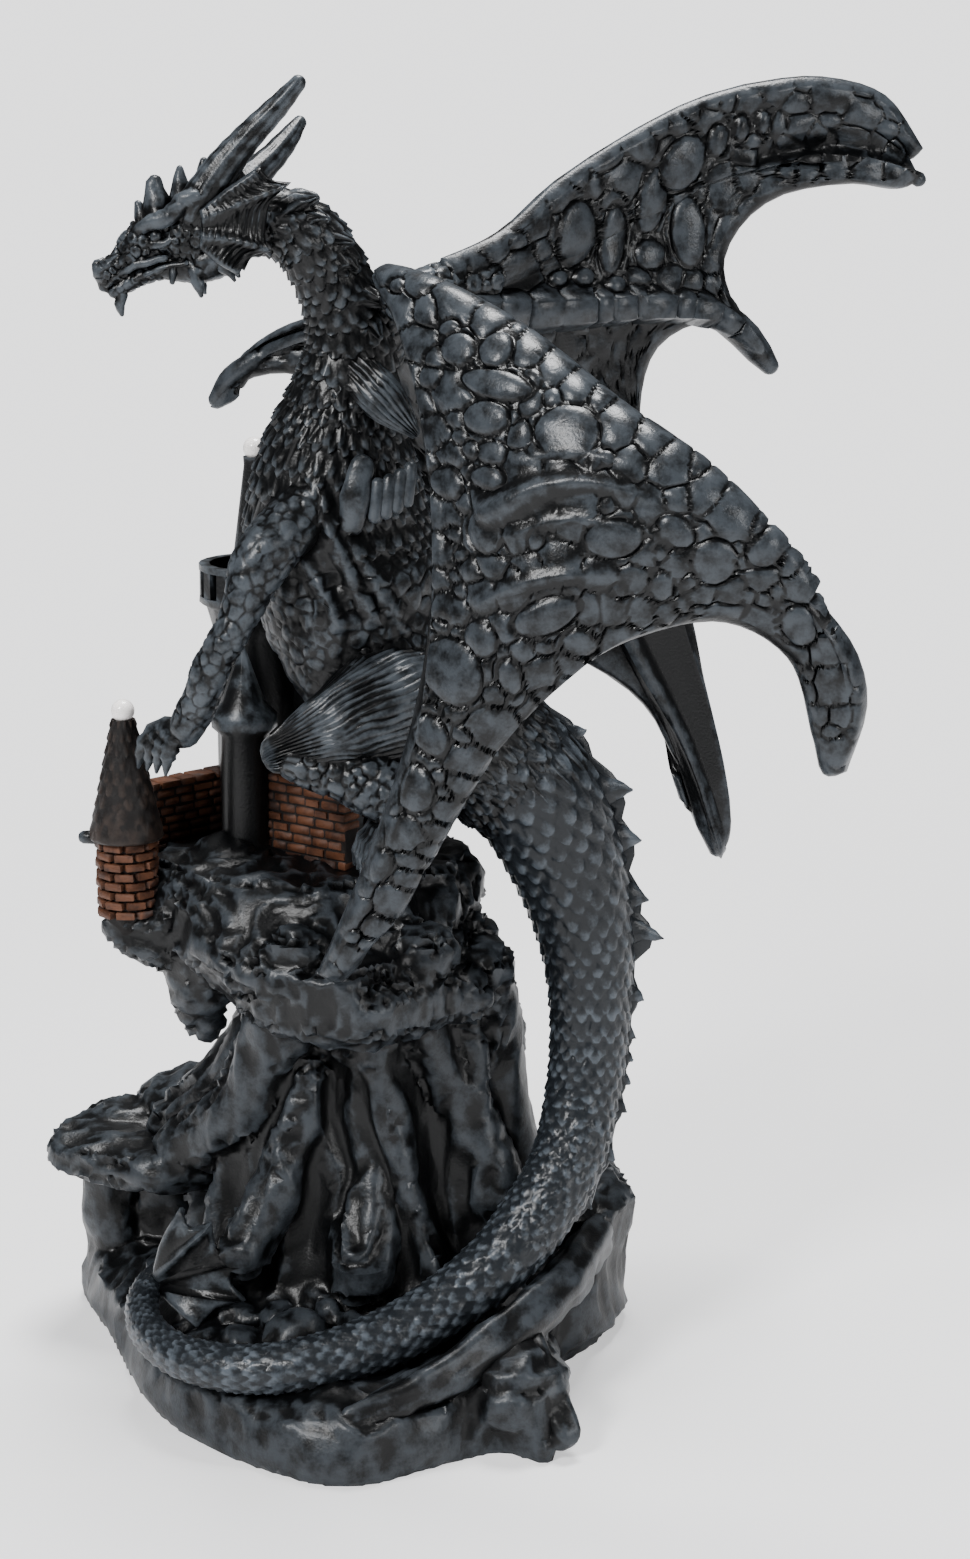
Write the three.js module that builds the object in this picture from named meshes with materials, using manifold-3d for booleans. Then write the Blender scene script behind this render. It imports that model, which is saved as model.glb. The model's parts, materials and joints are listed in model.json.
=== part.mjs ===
// A cast resin dragon that clings to a castle on a rock, with two pearl beads on the tower roofs.
// Millimetres, +Z up. The dragon faces -X, its left side is -Y, and the origin is the middle of the
// underside of the rock. The dragon, castle and rock are one casting, and each bead is its own piece.
import * as THREE from "three";
import { mergeVertices } from "three/addons/utils/BufferGeometryUtils.js";
import Module from "manifold-3d";

const wasm = await Module();
wasm.setup();

const V = (x, y, z) => new THREE.Vector3(x, y, z);
const turn = 2 * Math.PI;

// Driving dimensions of the rock
const baseOutline = [
  [-72, 36], [-59, 0], [-42, -42], [-21, -65], [3, -76.5], [23, -65], [38, -58], [49, -65],
  [50, -38], [51, -14], [62, 0], [69, 25], [58, 58], [22, 76], [-24, 76], [-62, 62],
];
const baseRim = 14;
const baseSides = 30;
const columnLevels = [
  { z: 8, x: 4, y: 6, across: 54, deep: 52 },
  { z: 22, x: 6, y: 8, across: 46, deep: 44 },
  { z: 38, x: 4, y: 9, across: 41, deep: 36 },
  { z: 54, x: 6, y: 10, across: 37, deep: 33 },
  { z: 72, x: 9, y: 10, across: 33, deep: 32 },
  { z: 90, x: 6, y: 9, across: 28, deep: 33 },
  { z: 100, x: 1, y: 5, across: 30, deep: 38 },
];
const columnSides = 24;
const columnFolds = 8;
const foldDepth = 0.11;
const ledgeLevels = [
  { z: 92, x: 2, y: 2, across: 26, deep: 33 },
  { z: 100, x: 0, y: 0, across: 30, deep: 41 },
  { z: 109, x: -4, y: 0, across: 36, deep: 44 },
  { z: 114, x: -7, y: 3, across: 38, deep: 39 },
  { z: 122, x: -9, y: 8, across: 40, deep: 35 },
  { z: 127, x: -8, y: 9, across: 37, deep: 32 },
];
const ledgeSides = 22;
const lumpCount = 4;
const shelfOutline = [[-76, 14], [-68, 36], [-50, 48], [-26, 44], [-14, 22], [-24, 4], [-40, -4], [-58, 0]];
const shelfBottom = 41;
const shelfTop = 51;

// Driving dimensions of the castle
const courtyard = 125;
const turret = { x: -51.8, y: -5, foot: 113, eaves: 134, apex: 163, radius: 7, eavesRadius: 8.6, bead: 2.8 };
const frontTower = { x: -24, y: 6, radius: 6, ring: 161, apex: 178 };
const keep = { x: -22, y: 28, radius: 10.5, corbel: 177, balcony: 185.5, parapet: 195,
  balconyRadius: 14.2, spireRadius: 5.5, apex: 221, bead: 2.8 };
const wall = { thick: 6, top: 148 };
const beadGap = 0.35;
const slitCount = 8;
const beadSides = 10;
const beadRows = 6;

// Driving dimensions of the dragon
const spine = [
  { at: V(-16, -10, 279.5), radius: 6.6 },
  { at: V(-7, -9.5, 276), radius: 8 },
  { at: V(-0.5, -8, 266), radius: 8.3 },
  { at: V(3, -6, 252), radius: 9.8 },
  { at: V(1.5, -4, 238), radius: 13.8 },
  { at: V(-0.5, -2, 221), radius: 19.3 },
  { at: V(0, 0, 201), radius: 22.5 },
  { at: V(6, 0, 182), radius: 21 },
  { at: V(16, 0, 167), radius: 19.5 },
  { at: V(31, 0, 157), radius: 18 },
  { at: V(44, 0, 146), radius: 16 },
  { at: V(52.5, 0, 130), radius: 14.2 },
  { at: V(58, -2, 111), radius: 11.8 },
  { at: V(59.5, -5, 93), radius: 9.8 },
  { at: V(58, -10, 73), radius: 9 },
  { at: V(53, -19, 55), radius: 8.6 },
  { at: V(41, -30, 40), radius: 8 },
  { at: V(24, -41, 29), radius: 7.2 },
  { at: V(4, -52, 23), radius: 6.4 },
  { at: V(-18, -58, 21), radius: 5.6 },
  { at: V(-36, -52, 21), radius: 4.9 },
  { at: V(-47, -36, 22), radius: 4.2 },
  { at: V(-48, -21, 25), radius: 3.6 },
  { at: V(-41, -15, 30), radius: 2.8 },
];
const spineRings = 54;
const spineSides = 10;
const scaleRise = 0.05;
const maneTufts = 5;
const crest = { from: 0.37, to: 0.68, count: 10, height: 8, foot: 4.2 };

const nearWing = {
  fingers: [
    [V(8, -10, 266), V(16, -28, 256), V(22, -41, 238), V(25, -51, 213), V(22, -56, 183), V(12, -55, 149),
      V(-2.5, -49, 115)],
    [V(10, -10, 269), V(19, -24, 264.5), V(40.5, -42, 252.5), V(65.5, -57, 235), V(87, -65, 219),
      V(101, -68, 203.5), V(111, -67, 192), V(114.5, -65, 181), V(112, -62, 166)],
  ],
  edges: [
    [V(16, -55, 138), V(31, -60, 166), V(50, -64, 186), V(66, -67, 196), V(85, -68, 199.5),
      V(100, -66, 192.5)],
  ],
  columns: 14, rows: 10, fingerHalf: [6, 3.2], webHalf: 1.7, cobble: 0.8, billow: 5,
};
const farWing = {
  fingers: [
    [V(19, 8, 266), V(38, 24, 272.5), V(52, 35, 284), V(71, 46, 295.5), V(86.5, 54, 303), V(102, 58, 307),
      V(118, 62, 308), V(132.5, 65, 303.5), V(142, 66, 292.5)],
    [V(20, 8, 264), V(40, 26, 268), V(62, 40, 275), V(84, 50, 283), V(104, 56, 289), V(126, 60, 290),
      V(142, 62, 286.5)],
    [V(20, 8, 261), V(38, 26, 256.5), V(57, 38, 256), V(77, 48, 256), V(92, 54, 254), V(100, 56, 248.5),
      V(107, 57, 239)],
    [V(19, 10, 258), V(38, 36, 233), V(56, 50, 201), V(72, 57, 169), V(86, 60, 141), V(96, 60, 112)],
    [V(16, 10, 260), V(6, 36, 252.5), V(-5, 52, 248), V(-14, 61, 245.5), V(-23, 66, 241.5), V(-31, 69, 235),
      V(-35.5, 70, 228.5)],
  ],
  edges: [
    [V(136, 64, 291), V(129, 63, 291.5), V(133, 62, 289)],
    [V(124, 60, 287), V(107, 58, 284), V(97, 56, 279), V(92, 55, 268), V(93, 55, 257)],
    [V(97, 57, 246), V(88, 56, 249), V(76, 56, 243), V(72, 57, 226), V(77, 58, 200), V(91, 61, 160)],
    [V(85, 60, 138), V(77, 60, 152), V(62, 58, 162.5), V(34, 58, 172), V(8, 61, 200), V(-10, 65, 235),
      V(-24, 68, 235)],
  ],
  columns: 5, rows: 8, fingerHalf: [5, 2.6], webHalf: 1.5, cobble: 0.7, billow: 0,
};

// Small deterministic value noise, from -1 to 1
function hash(x, y, z) {
  let h = Math.imul(x, 374761393) + Math.imul(y, 668265263) + Math.imul(z, 2147483647);
  h = Math.imul(h ^ (h >>> 13), 1274126177);
  return ((h ^ (h >>> 16)) >>> 0) / 2147483647.5 - 1;
}

function noise(p, scale) {
  const cell = [p.x / scale, p.y / scale, p.z / scale];
  const low = cell.map(Math.floor);
  const part = cell.map((c, i) => THREE.MathUtils.smoothstep(c - low[i], 0, 1));
  let sum = 0;
  for (let corner = 0; corner < 8; corner++) {
    const step = [corner & 1, (corner >> 1) & 1, corner >> 2];
    const weight = step.reduce((w, s, i) => w * (s ? part[i] : 1 - part[i]), 1);
    sum += weight * hash(low[0] + step[0], low[1] + step[1], low[2] + step[2]);
  }
  return sum;
}

// Value of a list at u from 0 to 1, along straight lines
function along(list, u) {
  const place = u * (list.length - 1);
  const i = Math.min(Math.floor(place), list.length - 2);
  return THREE.MathUtils.lerp(list[i], list[i + 1], place - i);
}

// A closed solid from points and triangles
function solidOf(points, faces) {
  const position = new THREE.Float32BufferAttribute(points.flatMap((p) => p.toArray()), 3);
  const geometry = new THREE.BufferGeometry().setAttribute("position", position).setIndex(faces);
  return solidFrom(geometry);
}

function solidFrom(geometry) {
  const bare = new THREE.BufferGeometry();
  const loose = geometry.index ? geometry.toNonIndexed() : geometry;
  bare.setAttribute("position", loose.getAttribute("position"));
  const merged = mergeVertices(bare, 1e-3);
  const tris = [];
  const index = merged.index.array;
  for (let i = 0; i < index.length; i += 3) {
    const [a, b, c] = index.slice(i, i + 3);
    if (a !== b && b !== c && c !== a) tris.push(a, b, c);
  }
  const make = (list) =>
    new wasm.Manifold(
      new wasm.Mesh({
        numProp: 3,
        vertProperties: merged.getAttribute("position").array,
        triVerts: new Uint32Array(list),
      }),
    );
  const solid = make(tris);
  return solid.volume() < 0 ? make(tris.reverse()) : solid;
}

// Skin over closed rings of equal count; each end closes on its middle, or straight across a flat ring
function skin(rings, flatEnds = false) {
  const sides = rings[0].length;
  const points = rings.flat();
  const faces = [];
  for (let r = 0; r + 1 < rings.length; r++) {
    for (let k = 0; k < sides; k++) {
      const a = r * sides + k;
      const b = r * sides + ((k + 1) % sides);
      faces.push(a, b, b + sides, a, b + sides, a + sides);
    }
  }
  for (const [start, flip] of [[0, true], [points.length - sides, false]]) {
    const close = (a, b, c) => (flip ? faces.push(a, c, b) : faces.push(a, b, c));
    if (flatEnds) {
      for (let k = 0; k < sides / 2; k++) {
        const [a, b] = [start + k, start + k + 1];
        const [c, d] = [start + ((sides - k) % sides), start + sides - k - 1];
        if (a !== c) close(a, b, c);
        if (b !== d) close(b, d, c);
      }
    } else {
      const ring = points.slice(start, start + sides);
      const middle = ring.reduce((sum, p) => sum.add(p), V(0, 0, 0)).divideScalar(sides);
      const tip = points.push(middle) - 1;
      for (let k = 0; k < sides; k++) close(start + k, start + ((k + 1) % sides), tip);
    }
  }
  return solidOf(points, faces);
}

// Limb along a smooth path: radius at each point, depth is the cross-wise share
function sweep(path, radii, { sides = 10, steps = 8, across = V(0, 1, 0), depth = 1, relief } = {}) {
  const curve = new THREE.CatmullRomCurve3(path, false, "centripetal");
  const side = across.clone();
  const rings = [];
  for (let i = 0; i <= steps; i++) {
    const u = i / steps;
    const heading = curve.getTangent(u);
    side.addScaledVector(heading, -side.dot(heading)).normalize();
    const up = V(0, 0, 0).crossVectors(heading, side);
    const middle = curve.getPoint(u);
    const radius = along(radii, u);
    const ring = [];
    for (let k = 0; k < sides; k++) {
      const angle = (turn * k) / sides;
      const r = radius * (1 + (relief ? relief(i, k) : 0));
      ring.push(middle.clone()
        .addScaledVector(side, depth * r * Math.cos(angle))
        .addScaledVector(up, r * Math.sin(angle)));
    }
    rings.push(ring);
  }
  return skin(rings);
}

// Cone from the middle of its foot to its tip
function spike(foot, tip, radius, sides = 4) {
  const rise = tip.clone().sub(foot);
  const cone = new THREE.ConeGeometry(radius, rise.length(), sides);
  const swing = new THREE.Quaternion().setFromUnitVectors(V(0, 1, 0), rise.normalize());
  const middle = foot.clone().lerp(tip, 0.5);
  return solidFrom(cone.applyQuaternion(swing).translate(middle.x, middle.y, middle.z));
}

const joinAll = (solids) => solids.reduce((sum, s) => sum.add(s));

// Stack of noisy oval levels, as rock
function rockStack(levels, sides, rough, shape = () => 1) {
  return skin(levels.map((level, row) => {
    const ring = [];
    for (let k = 0; k < sides; k++) {
      const angle = (turn * k) / sides;
      const p = V(level.x + level.across * Math.cos(angle), level.y + level.deep * Math.sin(angle), level.z);
      const grow = shape(angle, row) * (1 + rough * noise(p, 13) + 0.5 * rough * noise(p, 6));
      p.x = level.x + (p.x - level.x) * grow;
      p.y = level.y + (p.y - level.y) * grow;
      ring.push(p);
    }
    return ring;
  }));
}

// Prism over a smooth closed outline: each level is a height, an inset share and a roughness
function outlineStack(outline, sides, levels) {
  const curve = new THREE.CatmullRomCurve3(outline.map(([x, y]) => V(x, y, 0)), true, "centripetal");
  const middle = outline
    .reduce((sum, [x, y]) => sum.add(V(x, y, 0)), V(0, 0, 0))
    .divideScalar(outline.length);
  return skin(levels.map(({ z, share, rough }) => {
    const ring = [];
    for (let k = 0; k < sides; k++) {
      const p = curve.getPointAt(k / sides).sub(middle);
      const grow = share * (1 + rough * noise(V(p.x, p.y, z), 11));
      ring.push(p.multiplyScalar(grow).add(V(middle.x, middle.y, z + 14 * rough * noise(p, 17))));
    }
    return ring;
  }));
}

function boulder(x, y, z, radius, flat = 0.7) {
  const ball = new THREE.IcosahedronGeometry(radius, radius > 8 ? 1 : 0);
  const position = ball.getAttribute("position");
  for (let i = 0; i < position.count; i++) {
    const p = V(0, 0, 0).fromBufferAttribute(position, i);
    p.multiplyScalar(1 + 0.32 * noise(p.clone().add(V(x, y, z)), radius * 0.9));
    position.setXYZ(i, p.x + x, p.y + y, flat * p.z + z);
  }
  return solidFrom(ball);
}

function lathe(profile, sides, x, y) {
  const shape = new THREE.LatheGeometry(profile.map(([r, z]) => new THREE.Vector2(r, z)), sides);
  return solidFrom(shape.rotateX(Math.PI / 2).translate(x, y, 0));
}

function block(long, thick, high, x, y, z, yaw = 0) {
  return solidFrom(new THREE.BoxGeometry(long, thick, high).rotateZ(yaw).translate(x, y, z));
}

function makeRock() {
  const plinth = outlineStack(baseOutline, baseSides, [
    { z: 0, share: 1, rough: 0 },
    { z: baseRim * 0.5, share: 0.985, rough: 0.03 },
    { z: baseRim, share: 0.96, rough: 0.06 },
    { z: baseRim + 3, share: 0.8, rough: 0.1 },
  ]);
  const foldAt = (angle, row) => 1 + foldDepth * Math.cos(columnFolds * angle + 0.5 * row) * (row > 0);
  const column = rockStack(columnLevels, columnSides, 0.13, foldAt);
  const ledge = rockStack(ledgeLevels, ledgeSides, 0.13);
  const shelf = outlineStack(shelfOutline, 18, [
    { z: shelfBottom, share: 0.9, rough: 0.1 },
    { z: shelfBottom + 4, share: 1, rough: 0.06 },
    { z: shelfTop, share: 0.93, rough: 0.12 },
  ]);
  const shelfPost = sweep(
    [V(-62, 34, 6), V(-63, 30, 24), V(-60, 30, 44)], [12, 8, 11], { sides: 7, steps: 3 });
  const hangingLobe = sweep(
    [V(-28, 0, 118), V(-33, -2, 106), V(-35, -2, 95), V(-34, -2, 86)],
    [14, 12, 8, 3.5],
    { sides: 7, steps: 4, relief: (i, k) => 0.16 * hash(i, k, 3) },
  );
  const frontStep = sweep([V(-20, -26, 102), V(4, -38, 104), V(30, -28, 102)], [8, 11, 8], {
    sides: 7, steps: 4, across: V(0, 0, 1), depth: 0.6, relief: (i, k) => 0.14 * hash(i, k, 7),
  });
  const rightShelf = rockStack([
    { z: 4, x: 52, y: 18, across: 17, deep: 30 },
    { z: 20, x: 52, y: 20, across: 16, deep: 27 },
    { z: 33, x: 54, y: 22, across: 17, deep: 24 },
    { z: 38, x: 52, y: 22, across: 13, deep: 18 },
  ], 12, 0.16);
  const rimWall = sweep([V(57, -4, 26), V(46, -34, 22), V(24, -56, 15), V(4, -66, 11)], [9, 8, 6, 4], {
    sides: 6, steps: 5, relief: (i, k) => 0.16 * hash(i, k, 5),
  });
  const cornerRock = boulder(41, -51, 13, 12.5, 0.95);
  const lumps = [];
  for (let i = 0; i < lumpCount; i++) {
    const angle = 3.6 + (i * 2.9) / (lumpCount - 1);
    const reach = 38 + 6 * hash(i, 1, 0);
    const height = 20 + 3 * hash(i, 2, 0);
    const size = 6 + 2 * hash(i, 3, 0);
    lumps.push(boulder(reach * Math.cos(angle), reach * Math.sin(angle), height, size));
  }
  const ledgeLumps = [[25, 10, 118, 8], [28, 0, 108, 8], [-10, -33, 114, 8], [20, -29, 112, 8]];
  for (const [x, y, z, r] of ledgeLumps) lumps.push(boulder(x, y, z, r));
  return joinAll([plinth, column, ledge, shelf, shelfPost, hangingLobe, frontStep, rightShelf, rimWall,
    cornerRock, ...lumps]);
}

// Round tower with a cone roof whose tip is cut to a cup for its bead
function beadCentre({ x, y, apex, bead }) {
  return V(x, y, apex + 0.7 * bead);
}

function makeCastle() {
  const t = turret;
  const smallTurret = lathe([
    [0, t.foot - 5], [3, t.foot - 5], [t.radius, t.foot + 2], [t.radius, t.eaves],
    [t.eavesRadius, t.eaves], [t.eavesRadius, t.eaves + 1.6], [2.4, t.apex - 2], [2.7, t.apex], [0, t.apex],
  ], 12, t.x, t.y);
  const corbel = sweep(
    [V(-36, -4, 112), V(-46, -4.5, 110), V(-52, -5, 112)], [9, 7, 5], { sides: 8, steps: 3 });
  const spout = sweep([V(t.x, t.y, t.eaves), V(t.x - 10.5, t.y, t.eaves)], [2, 1.6], { sides: 6, steps: 1 });
  const pilaster = block(3, 4, t.eaves - t.foot - 2, t.x - 5.6, t.y - 4.6, (t.eaves + t.foot) / 2, 0.8);
  const f = frontTower;
  const tower = lathe([
    [0, courtyard - 8], [f.radius + 1.4, courtyard - 8], [f.radius + 1.4, courtyard + 3],
    [f.radius, courtyard + 5],
    [f.radius, f.ring - 4], [f.radius + 2, f.ring - 2], [f.radius + 2, f.ring + 1],
    [0.5, f.apex], [0, f.apex],
  ], 12, f.x, f.y);
  const k = keep;
  const keepTower = lathe([
    [0, courtyard - 8], [k.radius, courtyard - 8], [k.radius, k.corbel], [k.balconyRadius, k.balcony],
    [k.balconyRadius, k.parapet], [k.balconyRadius - 2.5, k.parapet], [k.balconyRadius - 2.5, k.parapet - 4],
    [k.spireRadius, k.parapet - 4], [k.spireRadius, k.parapet + 3],
    [2.6, k.apex - 2], [2.9, k.apex], [0, k.apex],
  ], 14, k.x, k.y);
  const slits = [];
  for (let i = 0; i < slitCount; i++) {
    const angle = (turn * (i + 0.5)) / slitCount;
    const reach = k.balconyRadius;
    const high = (k.parapet - k.balcony) * 0.62;
    const middle = (k.parapet + k.balcony) / 2;
    const x = k.x + reach * Math.cos(angle);
    const y = k.y + reach * Math.sin(angle);
    slits.push(block(2, 4, high, x, y, middle, angle));
  }
  const high = wall.top - courtyard + 8;
  const level = wall.top - high / 2;
  const walls = [
    block(30, wall.thick, high, -38, 22, level - 4.5, 0.75),
    block(26, wall.thick, high, -8, 0, level, -0.62),
    block(24, wall.thick, high, 12, 14, level, 1.1),
  ];
  return joinAll([smallTurret, corbel, spout, pilaster, tower, keepTower.subtract(joinAll(slits)), ...walls]);
}

// Trunk and tail follow one spine; each second ring is drawn in, so the scales step down the length
function makeTrunk() {
  const scales = (i) => (i % 2 ? scaleRise : -scaleRise * 0.5);
  const trunk = sweep(spine.map((s) => s.at), spine.map((s) => s.radius), {
    sides: spineSides, steps: spineRings, depth: 0.94, relief: scales,
  });
  const leafRib = [V(-43, -16, 28), V(-37, -18, 36), V(-36.5, -24, 47)];
  const leaf = sweep(leafRib, [2.6, 6, 0.8], { sides: 6, steps: 6, across: V(0.4, 0.9, 0), depth: 0.4 });
  const leafCurl = sweep(
    [V(-37, -19, 33), V(-29, -24, 29), V(-25, -27, 26), V(-28, -29, 24)], [3, 3.4, 2.2, 0.8],
    { sides: 6, steps: 6, depth: 0.5 });
  return joinAll([trunk, leaf, leafCurl]);
}

function makeCrest() {
  const curve = new THREE.CatmullRomCurve3(spine.map((s) => s.at), false, "centripetal");
  const radii = spine.map((s) => s.radius);
  const side = V(0, 1, 0);
  const spikes = [];
  for (let i = 0; i < crest.count; i++) {
    const u = THREE.MathUtils.lerp(crest.from, crest.to, i / (crest.count - 1));
    const heading = curve.getTangent(u);
    side.addScaledVector(heading, -side.dot(heading)).normalize();
    const out = V(0, 0, 0).crossVectors(heading, side);
    const middle = curve.getPoint(u);
    const radius = along(radii, u);
    const shrink = 0.45 + 0.55 * (radius / 14) * (i % 2 ? 0.75 : 1);
    const foot = middle.clone().addScaledVector(out, radius * 0.8);
    const tip = middle.clone().addScaledVector(out, radius + crest.height * shrink)
      .addScaledVector(heading, 2.5 * shrink);
    spikes.push(spike(foot, tip, crest.foot * shrink, 4));
  }
  return joinAll(spikes);
}

function makeHead() {
  const face = -12;
  const skull = sweep(
    [V(-53, face, 266.5), V(-50.5, face, 268), V(-46, face, 270.5), V(-41, face, 274), V(-34, face, 277),
      V(-25, face, 278.5), V(-14, -10.5, 279.5)],
    [1.8, 3.1, 4.2, 5.4, 7.2, 7.9, 7],
    { sides: 8, steps: 8, depth: 0.85 },
  );
  const jaw = sweep(
    [V(-50.5, face, 262.6), V(-45, face, 265.6), V(-38, face, 268.2), V(-29, face, 271)],
    [1.2, 1.8, 2.4, 4],
    { sides: 6, steps: 4, depth: 1.2 },
  );
  const pieces = [skull, jaw];
  pieces.push(spike(V(-48, face, 265), V(-48.6, face, 259), 1.7));
  for (const side of [-1, 1]) {
    pieces.push(spike(V(-30, face + 4 * side, 270), V(-29, face + 4.5 * side, 264.4), 1.5));
    pieces.push(spike(V(-25, face + 4 * side, 271), V(-22, face + 6 * side, 267.5), 1.4));
    pieces.push(sweep(
      [V(-43, face + 4 * side, 276), V(-38, face + 5.6 * side, 278.5), V(-31, face + 6 * side, 282)],
      [0.9, 1.7, 1.4], { sides: 4, steps: 2 },
    ));
  }
  const crownSpikes = [
    [V(-46.5, face, 272), V(-47.6, face, 275.6), 1.1],
    [V(-44.5, face, 274), V(-46, face, 278), 1.2],
    [V(-42.5, face, 278), V(-44, face, 283.6), 1.6],
    [V(-39, face, 280), V(-40.4, face, 289.4), 2.4],
    [V(-33.5, face, 283), V(-34.5, face, 291.5), 2.1],
    [V(-28.5, face, 285), V(-29, face, 293.2), 1.9],
  ];
  for (const [foot, tip, radius] of crownSpikes) pieces.push(spike(foot, tip, radius));
  pieces.push(sweep(
    [V(-31, -15, 283), V(-19.5, -16, 297), V(-6.6, -17, 311.5)], [4.6, 3.2, 0.8], { sides: 6, steps: 3 }));
  pieces.push(sweep(
    [V(-25, -8, 283), V(-15.5, 3, 292), V(-8.6, 11, 301.5)], [4.4, 3.2, 0.8], { sides: 6, steps: 3 }));
  const frill = (side) => {
    const at = (x, out, z) => V(x, face + side * out, z);
    return wing({
      fingers: [
        [at(-29, 4, 279), at(-20, 6.5, 283), at(-10.5, 8.5, 287)],
        [at(-29, 4, 276), at(-21, 7, 275), at(-14.5, 8.5, 273.6)],
        [at(-29, 4, 273.5), at(-25, 6.5, 270), at(-20.5, 7.5, 269)],
      ],
      edges: [[at(-14, 7.5, 280)], [at(-18.5, 7.5, 272)]],
      columns: 2, rows: 2, fingerHalf: [1.6, 0.7], webHalf: 0.8, cobble: 0, billow: 0,
    });
  };
  pieces.push(frill(-1), frill(1));
  for (let i = 0; i < maneTufts; i++) {
    const foot = V(-11 + 3.8 * i, -9.5, 282 - 4 * i);
    pieces.push(spike(foot, foot.clone().add(V(7.5, 0.5, 4 - 0.6 * i)), 4.2));
  }
  return joinAll(pieces);
}

// Claws fan out from a palm
function makeHand(palm, reach, spread, drop, radius) {
  const toes = [];
  for (let i = -1; i <= 1; i++) {
    const knuckle = palm.clone()
      .addScaledVector(reach, 0.5)
      .addScaledVector(spread, i * 0.8)
      .add(V(0, 0, 1.5));
    const tip = palm.clone().add(reach).addScaledVector(spread, i * 1.2).add(drop);
    toes.push(sweep([palm, knuckle, tip], [radius, radius * 0.8, 0.5], { sides: 4, steps: 2 }));
  }
  return joinAll(toes);
}

// Wing roots swell out of the back
function makeShoulders() {
  const near = sweep([V(8, 2, 248), V(10, -10, 263), V(22, -26, 262)], [13, 8.5, 5], { sides: 8, steps: 3 });
  const far = sweep([V(8, -2, 248), V(18, 9, 263), V(36, 23, 266)], [13, 8.5, 5], { sides: 8, steps: 3 });
  return near.add(far);
}

function makeLegs() {
  const nearArm = sweep(
    [V(6, -12, 229), V(-6, -20, 216), V(-16.5, -25, 205), V(-22, -26, 192), V(-29, -24, 178),
      V(-35, -20, 165)],
    [13, 10, 6.6, 4.6, 4.2, 3.9], { sides: 7, steps: 8, relief: (i) => 0.06 * (i % 2 ? 1 : -1) },
  );
  const nearHand = makeHand(V(-36, -19, 163), V(-8, 3, -4), V(2.5, -2.6, 0), V(0, 0, -6), 4);
  const farArm = sweep(
    [V(6, 10, 226), V(-4, 19, 214), V(-13, 21, 206), V(-20, 20, 198)],
    [12, 9, 6, 4.5], { sides: 7, steps: 5 },
  );
  const legs = [nearArm, nearHand, farArm];
  for (const side of [-1, 1]) {
    const at = (x, out, z) => V(x, side * out, z);
    legs.push(sweep([at(26, 8, 176), at(14, 18, 170), at(0, 25, 165), at(-13, 27, 160)], [14, 14, 10.5, 4.5],
      { sides: 7, steps: 5, relief: (i, k) => 0.05 * hash(i, k, 2) }));
    legs.push(sweep(
      [at(-8, 27, 159), at(8, 28, 153), at(18, 28, 145)], [5.5, 7, 5.5], { sides: 6, steps: 2 }));
    legs.push(makeHand(at(17, 28, 144), V(-12, side * 3, -6), V(1, side * 4, 0), V(0, 0, -5), 4.6));
  }
  return joinAll(legs);
}

// Wing skin between finger bones that share a shoulder; its free edge hangs in scallops from tip to tip
function wing({ fingers, edges, columns, rows, fingerHalf, webHalf, cobble, billow }) {
  const start = 0.04;
  const rimOut = 0.5;
  const bones = fingers.map((points) => new THREE.CatmullRomCurve3(points, false, "centripetal"));
  const hems = edges.map((points, i) =>
    new THREE.CatmullRomCurve3([fingers[i].at(-1), ...points, fingers[i + 1].at(-1)], false, "centripetal"));
  const total = columns * hems.length;
  const at = (column, t) => {
    const panel = Math.min(Math.floor(column / columns), hems.length - 1);
    const s = column / columns - panel;
    const [left, right] = [bones[panel], bones[panel + 1]];
    const between = (u) => left.getPointAt(u).lerp(right.getPointAt(u), s);
    const pull = hems[panel].getPointAt(s).sub(between(1));
    const place = between(t).addScaledVector(pull, t * t);
    place.y -= billow * Math.sin(Math.PI * s) * Math.sin(Math.PI * t);
    return place;
  };
  const rings = [];
  for (let row = 0; row <= rows; row++) {
    const t = start + ((1 - start) * row) / rows;
    const front = [];
    const back = [];
    const rim = [];
    for (let column = 0; column <= total; column++) {
      const near = 0.3;
      const p = at(column, t);
      const after = at(Math.min(column + near, total), t);
      const before = at(Math.max(column - near, 0), t);
      const acrossIt = after.sub(before).normalize();
      const downIt = at(column, Math.min(t + 0.02, 1)).sub(at(column, Math.max(t - 0.02, 0))).normalize();
      const normal = V(0, 0, 0).crossVectors(acrossIt, downIt).normalize();
      const s = column / columns - Math.round(column / columns);
      const bone = Math.exp(-((s / 0.13) ** 2));
      const half = webHalf + (along(fingerHalf, t) - webHalf) * bone;
      const onEdge = row === rows ? 0.45 : 1;
      const swell = column % 2 && row % 2 && row < rows ? cobble : 0;
      front.push(p.clone().addScaledVector(normal, half * onEdge + swell));
      back.push(p.clone().addScaledVector(normal, -half * onEdge - swell));
      if (column === 0) rim.push(p.clone().addScaledVector(acrossIt, -rimOut * half * onEdge));
      if (column === total) rim.push(p.clone().addScaledVector(acrossIt, rimOut * half * onEdge));
    }
    rings.push([rim[0], ...front, rim[1], ...back.reverse()]);
  }
  return skin(rings, true);
}

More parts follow.
